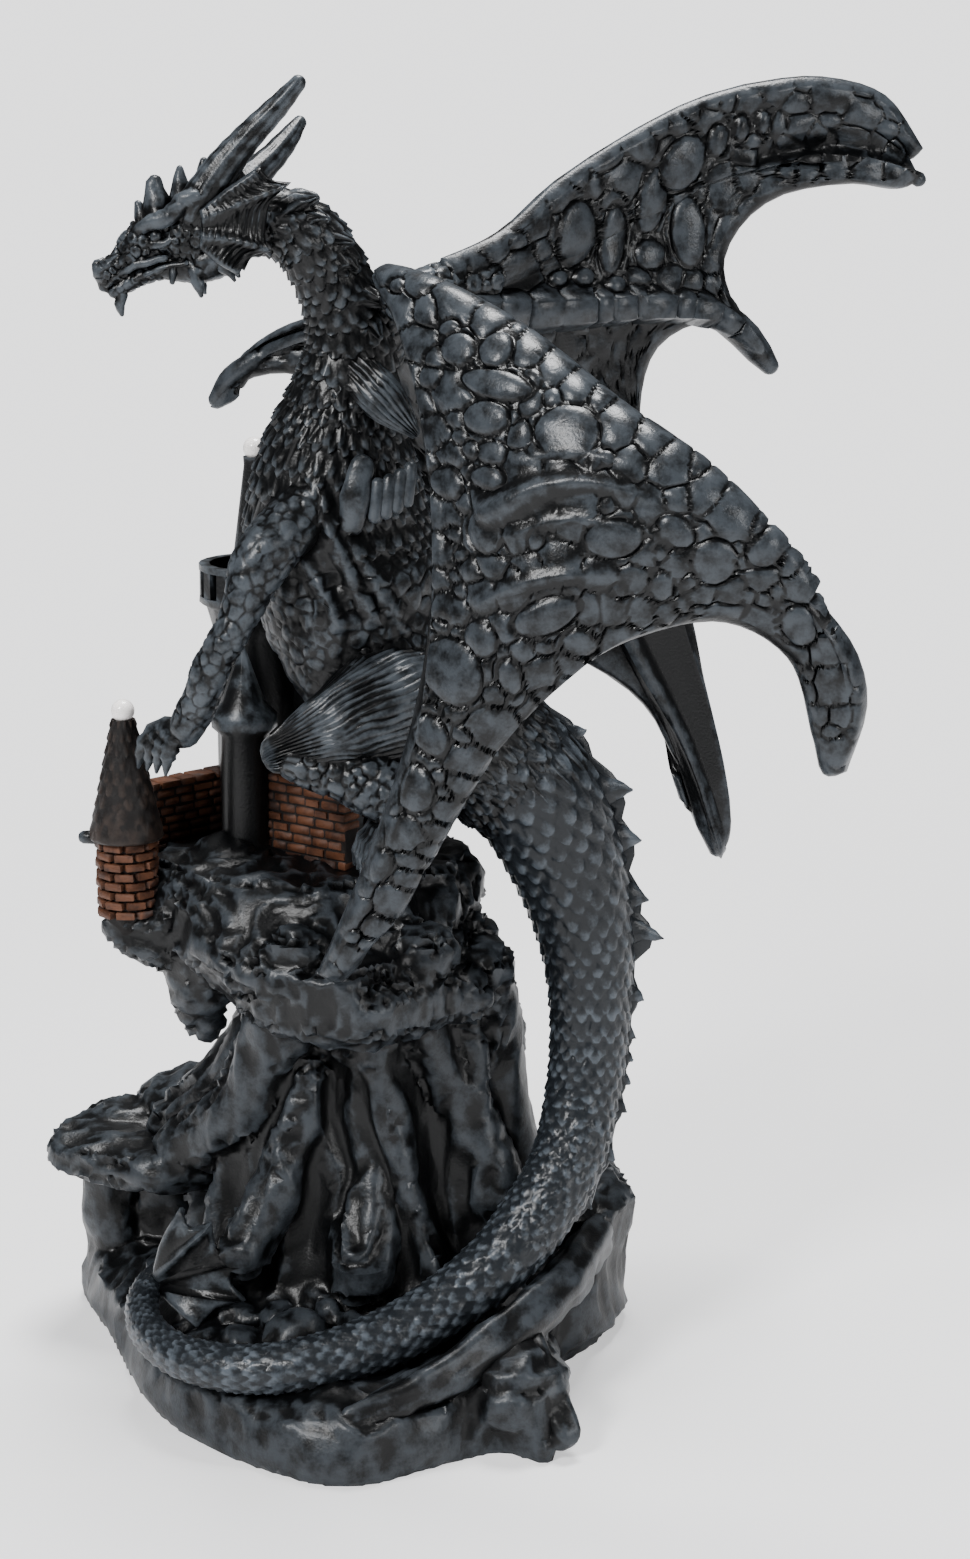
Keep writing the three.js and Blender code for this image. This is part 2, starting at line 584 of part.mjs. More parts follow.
// The casting is cut to a flat underside, and each roof tip to a cup that its bead sits in
function makeStatue() {
  const parts = [makeRock(), makeCastle(), makeTrunk(), makeCrest(), makeHead(), makeShoulders(), makeLegs(),
    wing(nearWing), wing(farWing)];
  const cups = [turret, keep].map((tower) => {
    const centre = beadCentre(tower);
    return solidFrom(new THREE.SphereGeometry(tower.bead + beadGap, beadSides, beadRows).rotateX(Math.PI / 2)
      .translate(centre.x, centre.y, centre.z));
  });
  const under = block(400, 400, 40, 0, 0, -20);
  return joinAll(parts).subtract(joinAll(cups)).subtract(under);
}

function meshOf(name, solid, material) {
  const made = solid.getMesh();
  const geometry = new THREE.BufferGeometry();
  geometry.setAttribute("position", new THREE.BufferAttribute(made.vertProperties.slice(), 3));
  geometry.setIndex(new THREE.BufferAttribute(made.triVerts.slice(), 1));
  geometry.computeVertexNormals();
  const mesh = new THREE.Mesh(geometry, material);
  mesh.name = name;
  return mesh;
}

const blackResin = new THREE.MeshStandardMaterial({ color: 0x26282b, roughness: 0.5, metalness: 0 });
const pearl = new THREE.MeshStandardMaterial({ color: 0xe6e2de, roughness: 0.15, metalness: 0 });

const dragonStatue = new THREE.Group();
dragonStatue.add(meshOf("dragon_statue", makeStatue(), blackResin));
for (const [name, tower] of [["turret_bead", turret], ["keep_bead", keep]]) {
  const ball = new THREE.SphereGeometry(tower.bead, beadSides, beadRows).rotateX(Math.PI / 2);
  const bead = new THREE.Mesh(ball, pearl);
  bead.name = name;
  bead.position.copy(beadCentre(tower));
  dragonStatue.add(bead);
}

export default dragonStatue;
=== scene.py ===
import bpy
import bmesh
import json
import math
import numpy as np
from mathutils import Matrix, Vector

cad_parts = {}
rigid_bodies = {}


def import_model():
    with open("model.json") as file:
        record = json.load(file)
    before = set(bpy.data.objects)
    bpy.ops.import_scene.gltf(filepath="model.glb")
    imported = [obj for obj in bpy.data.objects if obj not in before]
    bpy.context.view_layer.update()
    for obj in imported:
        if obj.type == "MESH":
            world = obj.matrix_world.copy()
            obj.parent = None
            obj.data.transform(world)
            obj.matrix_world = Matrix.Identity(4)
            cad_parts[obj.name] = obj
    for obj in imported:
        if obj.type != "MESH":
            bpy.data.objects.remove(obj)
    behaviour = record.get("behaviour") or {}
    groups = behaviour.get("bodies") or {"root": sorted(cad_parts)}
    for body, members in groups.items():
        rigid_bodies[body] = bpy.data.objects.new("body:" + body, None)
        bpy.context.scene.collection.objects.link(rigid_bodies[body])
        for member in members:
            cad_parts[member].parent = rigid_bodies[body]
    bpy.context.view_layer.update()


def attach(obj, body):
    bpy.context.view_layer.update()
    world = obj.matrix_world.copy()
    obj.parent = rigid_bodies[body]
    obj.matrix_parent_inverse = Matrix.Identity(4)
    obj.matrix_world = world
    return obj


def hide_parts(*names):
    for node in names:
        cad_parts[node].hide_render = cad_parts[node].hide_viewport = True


# Dragon on a castle rock. Sizes in the dictionaries are millimetres; a path is a list of x, y, z, radius.
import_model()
mm = 0.001
faceLimit = 196000
sharpAngle = 62
backdropGlow = 2.2

def unit(vectors):
    return vectors / np.maximum(np.linalg.norm(vectors, axis=-1, keepdims=True), 1e-9)


def softStep(x):
    x = np.clip(x, 0, 1)
    return x * x * (3 - 2 * x)


def softNoise(points, size, seed=0):
    cell = np.floor(points / size)
    part = softStep(points / size - cell)
    cell = cell.astype(np.int64)
    total = np.zeros(points.shape[:-1])
    for corner in np.ndindex(2, 2, 2):
        key = (cell + corner) @ np.array([73856093, 19349663, 83492791]) + seed * 668265263
        key = ((key ^ (key >> 13)) * 1274126177) & 0xffffffff
        value = ((key ^ (key >> 16)) & 0xffff) / 32767.5 - 1
        total += value * np.prod(np.where(corner, part, 1 - part), axis=-1)
    return total


def fullTurn(sides):
    return np.linspace(0, 2 * np.pi, sides, endpoint=False)


def ring(x, y, z, across, deep, angle):
    return np.stack([x + across * np.cos(angle), y + deep * np.sin(angle), 0 * angle + z], -1)


def newMesh(name, bm):
    mesh = bpy.data.meshes.new(name)
    bm.to_mesh(mesh)
    bm.free()
    return mesh


def newObject(name, data):
    made = bpy.data.objects.new(name, data)
    bpy.context.scene.collection.objects.link(made)
    return made


def bakedMesh(made):
    return bpy.data.meshes.new_from_object(made.evaluated_get(bpy.context.evaluated_depsgraph_get()))


# Places and normals of a mesh's points
def meshPoints(mesh):
    spots = np.empty(len(mesh.vertices) * 3)
    mesh.vertices.foreach_get("co", spots)
    out = np.empty(len(mesh.vertices) * 3)
    mesh.vertex_normals.foreach_get("vector", out)
    return spots.reshape(-1, 3), out.reshape(-1, 3)


# Smooth line through given points
def smoothLine(points, steps=24, closed=False):
    p = np.array(points, float)
    if closed:
        p = np.vstack([p[-1:], p, p[:2]])
    else:
        p = np.vstack([2 * p[:1] - p[1:2], p, 2 * p[-1:] - p[-2:-1]])
    t = np.linspace(0, 1, steps, endpoint=False)[:, None]
    line = []
    for a, b, c, d in zip(p, p[1:], p[2:], p[3:]):
        ab, bc, cd = [max(np.linalg.norm(v) ** 0.5, 1e-4) for v in (b - a, c - b, d - c)]
        leave = bc * ((b - a) / ab - (c - a) / (ab + bc) + (c - b) / bc)
        reach = bc * ((c - b) / bc - (d - b) / (bc + cd) + (d - c) / cd)
        line.append((2 * t ** 3 - 3 * t ** 2 + 1) * b + (t ** 3 - 2 * t ** 2 + t) * leave
                    + (3 * t ** 2 - 2 * t ** 3) * c + (t ** 3 - t ** 2) * reach)
    return np.vstack(line + [p[-2:-1]])


# Points at given shares of a line's length
def pick(line, share):
    gone = np.r_[0, np.cumsum(np.linalg.norm(np.diff(line[:, :3], axis=0), axis=1))]
    return np.stack([np.interp(np.asarray(share) * gone[-1], gone, column) for column in line.T], -1)


# Rings of points round a path with domed ends, with the way out at each point
def limb(path, rings, sides, across=(0, 1, 0), depth=1.0, dome=4):
    line = pick(smoothLine(path), np.linspace(0, 1, rings))
    centre = line[:, :3]
    radius = line[:, 3]
    heading = unit(np.gradient(centre, axis=0))
    bend = np.linspace(0, np.pi / 2, dome + 1)[1:]
    early = centre[:1] - heading[:1] * (radius[0] * np.sin(bend))[::-1, None]
    late = centre[-1:] + heading[-1:] * (radius[-1] * np.sin(bend))[:, None]
    centre = np.vstack([early, centre, late])
    heading = np.vstack([np.repeat(heading[:1], dome, 0), heading, np.repeat(heading[-1:], dome, 0)])
    fade = np.maximum(np.cos(bend), 0.02)
    radius = np.r_[radius[0] * fade[::-1], radius, radius[-1] * fade]
    side = np.array(across, float)
    frames = []
    for step in heading:
        side = side - step * side.dot(step)
        side = side / np.linalg.norm(side)
        frames.append(side)
    frames = np.array(frames)
    up = np.cross(heading, frames)
    angle = fullTurn(sides)[None, :, None]
    spread = depth * np.cos(angle) * frames[:, None] + np.sin(angle) * up[:, None]
    points = centre[:, None] + spread * radius[:, None, None]
    return points, unit(spread), radius[:, None], angle[..., 0]


# Relief along the way out, less of it on the far side and at thin ends
def raised(points, out, radius, rise):
    plain = 1 - 0.5 * softStep(1.6 * out[..., 1])
    return points + out * (rise * plain * softStep(radius / 1.6))[..., None]


def ovalRings(levels, sides, folds=0, foldDepth=0):
    angle = fullTurn(sides)
    rings = []
    for row, (z, x, y, across, deep) in enumerate(levels):
        grow = 1 + foldDepth * np.cos(folds * angle + 0.5 * row)
        rings.append(ring(x, y, z, across * grow, deep * grow, angle))
    return np.array(rings)


# Rock face in hanging folds: sharp crests with hollows between
def foldedRings(levels, rings, sides, folds, depth):
    line = pick(smoothLine(levels), np.linspace(0, 1, rings))
    angle = fullTurn(sides)
    faces = []
    for z, x, y, across, deep in line:
        warp = angle + 0.3 * np.sin(2 * angle + 1) + 0.12 * np.sin(3 * angle + z / 13)
        grow = 1 + depth * (0.4 - np.abs(np.sin(folds / 2 * warp + z / 60)) ** 0.7)
        faces.append(ring(x, y, z, across * grow, deep * grow, angle))
    return np.array(faces)


# An outline stacked at several heights
def outlineRings(outline, levels, sides):
    loop = smoothLine([(x, y, 0) for x, y in outline], closed=True)
    loop = pick(loop, np.linspace(0, 1, sides, endpoint=False))
    middle = np.mean(loop, axis=0)
    return np.array([middle + (loop - middle) * share + (0, 0, z) for z, share in levels])


def turned(x, y, profile, sides):
    angle = fullTurn(sides)
    return np.array([ring(x, y, z, r, r, angle) for r, z in profile])


# Closed skin over rings of points
def skin(name, points):
    rows, sides = points.shape[:2]
    points = np.concatenate([points, points[:, :1]], axis=1)
    mesh = bpy.data.meshes.new(name)
    bm = bmesh.new()
    bmesh.ops.create_grid(bm, x_segments=sides, y_segments=rows - 1, size=1)
    bm.to_mesh(mesh)
    mesh.vertices.foreach_set("co", (points * mm).ravel())
    bm.clear()
    bm.from_mesh(mesh)
    bmesh.ops.remove_doubles(bm, verts=bm.verts[:], dist=2e-6)
    bmesh.ops.holes_fill(bm, edges=[e for e in bm.edges if e.is_boundary], sides=0)
    bmesh.ops.recalc_face_normals(bm, faces=bm.faces[:])
    bm.to_mesh(mesh)
    bm.free()
    return mesh


shells = bpy.data.collections.new("castShells")
bpy.context.scene.collection.children.link(shells)


def addShell(name, points, material):
    mesh = points if isinstance(points, bpy.types.Mesh) else skin(name, points)
    mesh.materials.append(material)
    shell = bpy.data.objects.new(name, mesh)
    shells.objects.link(shell)
    return shell


# Rounded stones packed on a surface: each is a short line with a radius
def scatterStones(points, sizes, seed, fixed=()):
    rng = np.random.default_rng(seed)
    flat = points.reshape(-1, 3)
    ends = [(np.array(s[:3], float), np.array(s[3:6], float), s[6]) for s in fixed]
    middles = [(a + b) / 2 for a, b, r in ends]
    radii = [r + np.linalg.norm(b - a) / 3 for a, b, r in ends]
    for size, tries in sizes:
        for k in rng.integers(len(flat), size=tries):
            radius = size * rng.uniform(0.85, 1.2)
            if middles:
                gap = np.linalg.norm(np.array(middles) - flat[k], axis=1) - 0.82 * (np.array(radii) + radius)
                if gap.min() < 0:
                    continue
            middles.append(flat[k])
            radii.append(radius)
            ends.append((flat[k], flat[k], radius))
    return ends


# Height over packed stones, with a groove between neighbours
def cobbles(points, stones, groove=1.0, dimple=0.0):
    near = np.full(points.shape[:-1], 1e3)
    second = near.copy()
    size = np.ones_like(near)
    for a, b, radius in stones:
        run = b - a
        share = np.clip((points - a) @ run / max(run @ run, 1e-6), 0, 1)
        gap = np.linalg.norm(points - a - share[..., None] * run, axis=-1) / radius
        closer = gap < near
        second = np.where(closer, near, np.minimum(second, gap))
        near = np.where(closer, gap, near)
        size = np.where(closer, radius, size)
    edge = softStep((second - near) * size / groove)
    dome = np.sqrt(np.clip(1 - near ** 2, 0, 1))
    return edge * (0.8 + 0.2 * dome - dimple * softStep((0.5 - near) / 0.2))


# Scales in staggered rows, each one lying over the root of the next
def overlapScales(rows, columns, pointed=1.0, count=0, uneven=0.0):
    height = np.zeros(np.broadcast(rows, columns).shape)
    for back in range(3):
        row = np.floor(rows) - back
        y = rows - row
        x = columns + 0.5 * (row % 2)
        mine = np.round(x) % max(count, 1)
        size = 1 + uneven * np.sin(mine * 12.99 + row * 78.23)
        y = y / size
        x = 2 * (x - np.round(x))
        tip = 1.75 - pointed * x * x
        lift = (0.05 + 0.95 * (np.clip(y, 0, 2) / 1.75) ** 1.2) * (1 - 0.6 * x * x)
        height = np.maximum(height, lift * softStep((tip - y) / 0.22))
    return height


def makeMaterial(name):
    material = bpy.data.materials.new(name)
    material.use_nodes = True
    return material


resin = makeMaterial("blackResin")
# The wings are the same black resin with a dimmer brushed tone: painted shade on the wings
shadedWingPaint = makeMaterial("shadedWingPaint")
# The tail and its fin are the same black resin painted lighter in both tones: painted light on the tail
litTailPaint = makeMaterial("litTailPaint")
stonePaint = makeMaterial("rockPaint")
brickPaint = makeMaterial("brickPaint")
mortarPaint = makeMaterial("mortarPaint")
tilePaint = makeMaterial("tilePaint")
pearl = makeMaterial("pearlBead")


rock = {
    "outline": [(-72, 36), (-61, 4), (-44, -40), (-22, -64), (3, -76), (23, -66), (38, -59), (49, -65),
                (51, -38), (52, -14), (62, 0), (69, 25), (58, 58), (22, 76), (-24, 76), (-62, 62)],
    "rimLevels": [(0, 1), (7, 0.985), (13, 0.96), (17, 0.8)],  # height, share of the outline
    # height, x, y, half width, half depth
    "column": [(8, 4, 6, 54, 52), (22, 6, 8, 46, 44), (38, 4, 9, 41, 36), (54, 6, 10, 37, 33),
               (72, 8, 10, 34, 31), (90, 7, 9, 32, 32), (100, 3, 5, 32, 38)],
    "ledge": [(92, 2, 2, 26, 33), (100, 0, 0, 30, 41), (109, -4, 0, 36, 44), (114, -7, 3, 38, 39),
              (122, -9, 8, 40, 35), (127, -8, 9, 37, 32)],
    "shelf": [(-76, 14), (-68, 36), (-50, 48), (-26, 44), (-14, 22), (-24, 4), (-40, -4), (-58, 0)],
    "shelfLevels": [(42.5, 0.92), (45.5, 1), (50, 0.94)],
    "side": [(4, 52, 18, 17, 30), (20, 52, 20, 16, 27), (33, 54, 22, 17, 24), (38, 52, 22, 13, 18)],
    "frontStep": [(-24, -20), (-19, -34), (-5, -43), (9, -44), (18, -37), (27, -27), (26, -12), (-10, -10)],
    "frontStepLevels": [(93, 0.72), (98, 0.98), (104, 1), (106, 0.9)],
    "ribs": [
        [(-59, 33, 6, 10), (-62, 30, 24, 7), (-60, 30, 44, 10)],
        [(-44, 36, 6, 18), (-46, 38, 24, 16), (-42, 36, 44, 16)],
        [(-28, 0, 118, 14), (-33, -2, 106, 12), (-35, -2, 95, 8), (-34, -2, 86, 3.5)],
        [(-36, -4, 112, 9), (-46, -4.5, 110, 7), (-52, -5, 112, 5)],
        [(-12, 6, 88, 13), (-22, 9, 68, 13), (-40, 16, 52, 10)],
        [(-13, -14, 98, 8), (-18, -9, 80, 8), (-26, -6, 64, 8), (-40, 3, 52, 7)],
        [(4, -15, 98, 6.5), (6, -12, 76, 6), (7, -16, 52, 6), (4, -28, 32, 7)],
        [(14, -17, 98, 6.5), (22, -11.5, 80, 6), (31, -10, 62, 6), (38, -14, 46, 6)],
        [(33, -8, 98, 7), (36, 0, 80, 6.5), (40, 0, 60, 6), (46, -2, 40, 6)],
        [(-8, -12, 76, 5), (-14, -18, 56, 5), (-24, -24, 36, 6)],
    ],
    "planks": [
        [(62, -1, 30, 5), (50, -33, 28, 6), (28, -57, 20.5, 5.5), (4, -68, 13, 3)],
        [(52, -60, 6, 4), (45, -50, 17, 6), (40, -36, 23, 4)],
    ],
    "rubble": {"count": 70, "turn": (2.9, 6.6), "reach": (34, 54), "size": (2.2, 4.6), "level": 17,
               "slope": 0.28},
    "boulders": [(41, -51, 13, 12.5), (25, 10, 118, 8), (28, 0, 108, 8), (-10, -33, 114, 7),
                 (20, -27, 112, 7), (27, -19, 99, 8), (33, -9, 103, 8),
                 (-10, -37, 20, 6), (20, -33, 20, 7), (36, -18, 22, 7)],
    "folds": 9,
    "voxel": 1.25,
}


def makeRock():
    bm = bmesh.new()
    masses = [
        outlineRings(rock["outline"], rock["rimLevels"], 120),
        foldedRings(rock["column"], 40, 180, rock["folds"], 0.3),
        foldedRings(rock["ledge"], 24, 140, 9, 0.1),
        outlineRings(rock["frontStep"], rock["frontStepLevels"], 80),
        outlineRings(rock["shelf"], rock["shelfLevels"], 60),
        ovalRings(rock["side"], 48, 5, 0.06),
    ]
    masses += [limb(path, 24, 20)[0] for path in rock["ribs"]]
    for mass in masses:
        bm.from_mesh(skin("rockMass", mass))
    for x, y, z, r in rock["boulders"]:
        place = Matrix.Translation(Vector((x, y, z)) * mm)
        place = place @ Matrix.Diagonal((r * mm, r * mm, 0.8 * r * mm, 1))
        bmesh.ops.create_icosphere(bm, subdivisions=3, radius=1, matrix=place)
    rng = np.random.default_rng(5)
    rubble = rock["rubble"]
    for stone in range(rubble["count"]):
        angle = rng.uniform(*rubble["turn"])
        reach = rng.uniform(*rubble["reach"])
        size = rng.uniform(*rubble["size"]) * mm
        level = rubble["level"] + rubble["slope"] * (rubble["reach"][1] - reach)
        spot = Vector((reach * math.cos(angle) + 4, 0.95 * reach * math.sin(angle) + 6, level)) * mm
        bmesh.ops.create_icosphere(bm, subdivisions=2, radius=size, matrix=Matrix.Translation(spot))
    lump = newObject("rockLump", newMesh("rockMass", bm))
    melt = lump.modifiers.new("melt", "REMESH")
    melt.mode = "VOXEL"
    melt.voxel_size = rock["voxel"] * mm
    soften = lump.modifiers.new("soften", "SMOOTH")
    soften.iterations = 9
    mesh = bakedMesh(lump)
    bpy.data.objects.remove(lump)
    spots, out = meshPoints(mesh)
    spots = spots / mm
    steep = softStep(1.2 - 1.2 * np.abs(out[:, 2:]))  # folds hang down where the face is steep
    stir = 5 * np.stack([softNoise(spots, 17, k) for k in (1, 2, 3)], -1)
    flow = spots * (1 - np.array([0, 0, 0.72]) * steep) + stir
    push = 2.8 * (0.55 - np.abs(softNoise(flow, 10, 4))) + 1.3 * (0.5 - np.abs(softNoise(flow, 4.6, 5)))
    push += 0.45 * softNoise(flow, 2.4, 6)
    push *= 0.75 + 0.25 * softStep((spots[:, 2] - 9) / 9)
    push *= softStep(spots[:, 2] / 5)
    spots += out * push[:, None]
    spots[:, 2] = np.maximum(spots[:, 2], 0)
    spots[spots[:, 2] < 0.6, 2] = 0
    mesh.vertices.foreach_set("co", (spots * mm).ravel())
    mesh.materials.clear()
    addShell("rock", mesh, stonePaint)
    for path in rock["planks"]:
        points, out, radius, angle = limb(path, 60, 40, depth=0.7)
        facets = 0.9 * np.abs(np.sin(2.5 * angle + 1.2 * softNoise(points, 16, 2)))
        addShell("plank", raised(points, out, radius, facets + 0.9 * softNoise(points, 5, 9)), stonePaint)
    print("rock", len(spots))


castle = {
    "courtyard": 125,
    "turret": {"x": -51.8, "y": -5, "foot": 113, "eaves": 134, "apex": 163, "radius": 6.6,
               "eavesRadius": 8.6},
    "frontTower": {"x": -24, "y": 6, "radius": 6, "ring": 161, "apex": 178},
    "keep": {"x": -22, "y": 28, "radius": 10.5, "corbel": 177, "balcony": 185.5, "parapet": 195,
             "balconyRadius": 14.2, "spireRadius": 5.5, "apex": 221},
    # x, y, length, foot, top, turn
    "walls": [(-38, 22, 30, 117, 143.5, 0.75), (-8, 0, 26, 117, 148, -0.62), (12, 14, 24, 117, 148, 1.1)],
    "thick": 5,
    "course": 2.3,
    "brick": 5.2,
    "mortar": 0.5,
    "bead": 2.8,
    "posts": 16,
}


# Bevelled blocks in one mesh
def boxesMesh(name, boxes):
    bm = bmesh.new()
    for x, y, z, long, thick, high, yaw in boxes:
        place = Matrix.Translation(Vector((x, y, z)) * mm) @ Matrix.Rotation(yaw, 4, "Z")
        place = place @ Matrix.Diagonal((long * mm, thick * mm, high * mm, 1))
        bmesh.ops.create_cube(bm, size=1, matrix=place)
    bmesh.ops.bevel(bm, geom=bm.edges[:], offset=0.35 * mm, offset_type="OFFSET", affect="EDGES", segments=1,
                    profile=0.5, material=-1)
    return newMesh(name, bm)


def roundBricks(x, y, radius, low, high, rng):
    around = max(6, round(2 * np.pi * radius / castle["brick"]))
    courses = max(1, round((high - low) / castle["course"]))
    rise = (high - low) / courses
    for course in range(courses):
        for k in range(around):
            angle = 2 * np.pi * (k + 0.5 * (course % 2)) / around
            reach = radius - 0.4 + rng.uniform(-0.15, 0.25)
            yield (x + reach * np.cos(angle), y + reach * np.sin(angle), low + (course + 0.5) * rise,
                   2.4, 2 * np.pi * radius / around - castle["mortar"], rise - castle["mortar"], angle)


def wallBricks(x, y, long, low, high, yaw, rng):
    courses = round((high - low) / castle["course"])
    rise = (high - low) / courses
    run = np.array([np.cos(yaw), np.sin(yaw)])
    for course in range(courses):
        edge = -long / 2 - rng.uniform(0, castle["brick"])
        while edge < long / 2:
            width = castle["brick"] * rng.uniform(0.8, 1.25)
            left = max(edge, -long / 2)
            right = min(edge + width, long / 2)
            edge += width
            if right - left < 1.5:
                continue
            middle = (left + right) / 2
            yield (x + run[0] * middle, y + run[1] * middle, low + (course + 0.5) * rise,
                   right - left - castle["mortar"], castle["thick"] + 1.1 + rng.uniform(-0.25, 0.35),
                   rise - castle["mortar"], yaw)


def makeTurret(rng):
    x, y, foot, eaves, apex, radius, wide = castle["turret"].values()
    core = radius - 0.5
    profile = [(0.02, foot - 5), (3, foot - 5), (core, foot + 2), (core, eaves + 1), (0.02, eaves + 1)]
    addShell("turretCore", turned(x, y, profile, 32), mortarPaint)
    bricks = roundBricks(x, y, radius, foot + 2, eaves, rng)
    addShell("turretBricks", boxesMesh("turretBricks", bricks), brickPaint)
    rows = 44
    sides = 84
    slope = np.linspace(0, 1, rows)
    taper = wide + (2.5 - wide) * slope
    level = eaves + 0.6 + (apex - eaves - 0.6) * slope
    cone = turned(x, y, list(zip(taper, level)), sides)
    tiles = overlapScales((1 - slope[:, None]) * 9, np.linspace(0, 12, sides, endpoint=False)[None], 0.9)
    away = unit((cone - (x, y, 0)) * (1, 1, 0))
    cone = cone + away * (tiles * 0.75)[..., None]
    cap = turned(x, y, [(2.9, apex), (2.4, apex), (0.02, apex - 1.2)], sides)
    under = turned(x, y, [(0.02, eaves), (wide, eaves)], sides)
    addShell("turretRoof", np.concatenate([under, cone, cap]), tilePaint)
    addShell("turretSpout", limb([(x, y, eaves, 2), (x - 10, y, eaves, 1.6)], 6, 14)[0], resin)


def makeFrontTower():
    x, y, radius, collar, apex = castle["frontTower"].values()
    yard = castle["courtyard"]
    profile = [(0.02, yard - 8), (radius + 1.4, yard - 8), (radius + 1.4, yard + 3), (radius, yard + 5),
               (radius, collar - 4), (radius + 2, collar - 2), (radius + 2, collar + 1),
               (radius - 1, collar + 4), (0.6, apex), (0.02, apex + 0.4)]
    addShell("frontTower", turned(x, y, profile, 36), resin)


def makeKeep():
    x, y, radius, corbel, balcony, parapet, wide, spire, apex = castle["keep"].values()
    yard = castle["courtyard"]
    profile = [(0.02, yard - 8), (radius, yard - 8), (radius, corbel), (wide - 1.6, balcony - 1),
               (wide, balcony), (wide, balcony + 1.6), (wide - 1.8, balcony + 1.8),
               (wide - 1.8, parapet - 1.7), (wide, parapet - 1.5), (wide, parapet),
               (wide - 2.5, parapet), (wide - 2.5, parapet - 4), (spire, parapet - 4),
               (spire, parapet + 3), (2.7, apex - 2), (2.9, apex), (2.4, apex), (0.02, apex - 1.2)]
    addShell("keepTower", turned(x, y, profile, 48), resin)
    posts = []
    reach = wide - 1.4
    for i in range(castle["posts"]):
        angle = 2 * np.pi * (i + 0.5) / castle["posts"]
        posts.append((x + reach * np.cos(angle), y + reach * np.sin(angle), (balcony + parapet) / 2,
                      2.4, 3.4, parapet - balcony - 0.8, angle))
    addShell("keepPosts", boxesMesh("keepPosts", posts), resin)


def makeCastle():
    rng = np.random.default_rng(7)
    makeTurret(rng)
    makeFrontTower()
    makeKeep()
    for x, y, long, bottom, top, yaw in castle["walls"]:
        core = (x, y, (bottom + top) / 2 - 0.5, long - 0.8, castle["thick"], top - bottom - 1, yaw)
        addShell("wallCore", boxesMesh("wallCore", [core]), mortarPaint)
        bricks = wallBricks(x, y, long, bottom, top, yaw, rng)
        addShell("wallBricks", boxesMesh("wallBricks", bricks), brickPaint)
    print("castle")


trunk = {
    "neck": [(-16, -10, 279.5, 6.6), (-7, -9.5, 276, 8.2), (-0.5, -8, 266, 8.6), (3, -6, 252, 9.8),
             (2, -4.5, 240, 12.6), (1, -3, 230, 14)],
    "body": [(3, -6, 250, 9), (1.5, -4, 238, 13.6), (-0.5, -2, 221, 19.3), (0, 0, 201, 22.5),
             (6, 0, 182, 21), (16, 0, 167, 19.5), (31, 0, 157, 18), (44, 0, 146, 16)],
    "tail": [(31, 0, 157, 17), (44, 0, 146, 16), (52.5, 0, 130, 14.2), (58, -2, 111, 11.8),
             (59.5, -5, 93, 9.9), (58, -10, 73, 9), (53, -19, 55, 8.6), (41, -30, 40, 8)],
    "tip": [(58, -10, 73, 8.6), (53, -19, 55, 8.5), (41, -30, 40, 8), (24, -41, 29, 7.2), (4, -52, 23, 6.5),
            (-18, -58, 21, 5.7), (-36, -52, 21, 5), (-47, -36, 22, 4.3), (-48, -21, 25, 3.6),
            (-41, -15, 30, 2.8)],
    "leaf": {
        "fingers": [[(-47, -20, 28), (-44, -22, 38), (-39, -26, 48)],
                    [(-46, -20, 27), (-38, -25, 37), (-31.5, -28, 44.5)],
                    [(-45, -20, 26), (-34, -26, 32), (-23.5, -28, 35)],
                    [(-45, -20, 25), (-34, -27, 26), (-23.5, -29, 25)],
                    [(-46, -20, 24), (-40, -27, 21), (-35, -30, 18)]],
        "hems": [[(-37, -26.5, 43)], [(-30, -27.5, 37.5)], [(-27, -28.5, 30)], [(-31, -29.5, 23)]],
        "columns": [16, 16, 16, 14], "rows": 40, "half": 1.1, "roll": 1.5, "rimRise": 1,
        "bone": (2.2, 1), "boneStarts": [0, 0, 0], "billow": 0, "calm": (0, 1),
    },
    "folds": [
        [(-4.6, 0, 221, 2.6), (-1.3, 0, 211, 3.4), (3, 0, 201, 3.2), (8, 0, 191, 2.4)],
        [(2, 0, 210, 2.2), (6.5, 0, 203, 3), (11, 0, 194, 2.8), (15, 0, 187, 2)],
        [(-8, 0, 205, 2), (-3, 0, 197, 2.6), (1, 0, 188, 2)],
    ],
    "bellyTop": 204,
    "tailScales": 16,
    "tipScales": 12,
    "neckScales": 16,
    "chestScales": 30,
    "scaleRise": 1.2,
}


# Row count along a limb, so that scales grow with its girth
def scaleRows(points, radius, share):
    steps = np.linalg.norm(np.diff(points.mean(axis=1), axis=0), axis=1)
    return np.r_[0, np.cumsum(steps / (share * (radius[1:, 0] + radius[:-1, 0]) / 2))][:, None]


# Fin down the tail: height of each spike on the spine, its reach past the scales, half its foot
fin = {
    "spikes": [(147, 3, 5), (137, 6, 7.5), (127, 4.6, 7), (115, 4, 6.5), (107.5, 7, 6), (94, 2.8, 5),
               (85, 1.8, 3.5), (80, 1.6, 3.5), (75, 1.8, 3.5), (69.5, 2.2, 4), (60, 2, 4), (52, 2, 4)],
    "from": 164, "to": 47, "low": 0.5, "half": 1.9, "rows": 220, "columns": 14,
    "start": 8, "web": 0.65, "webLean": 0.25, "sunk": 0.7, "spikeLean": 0.3,
}


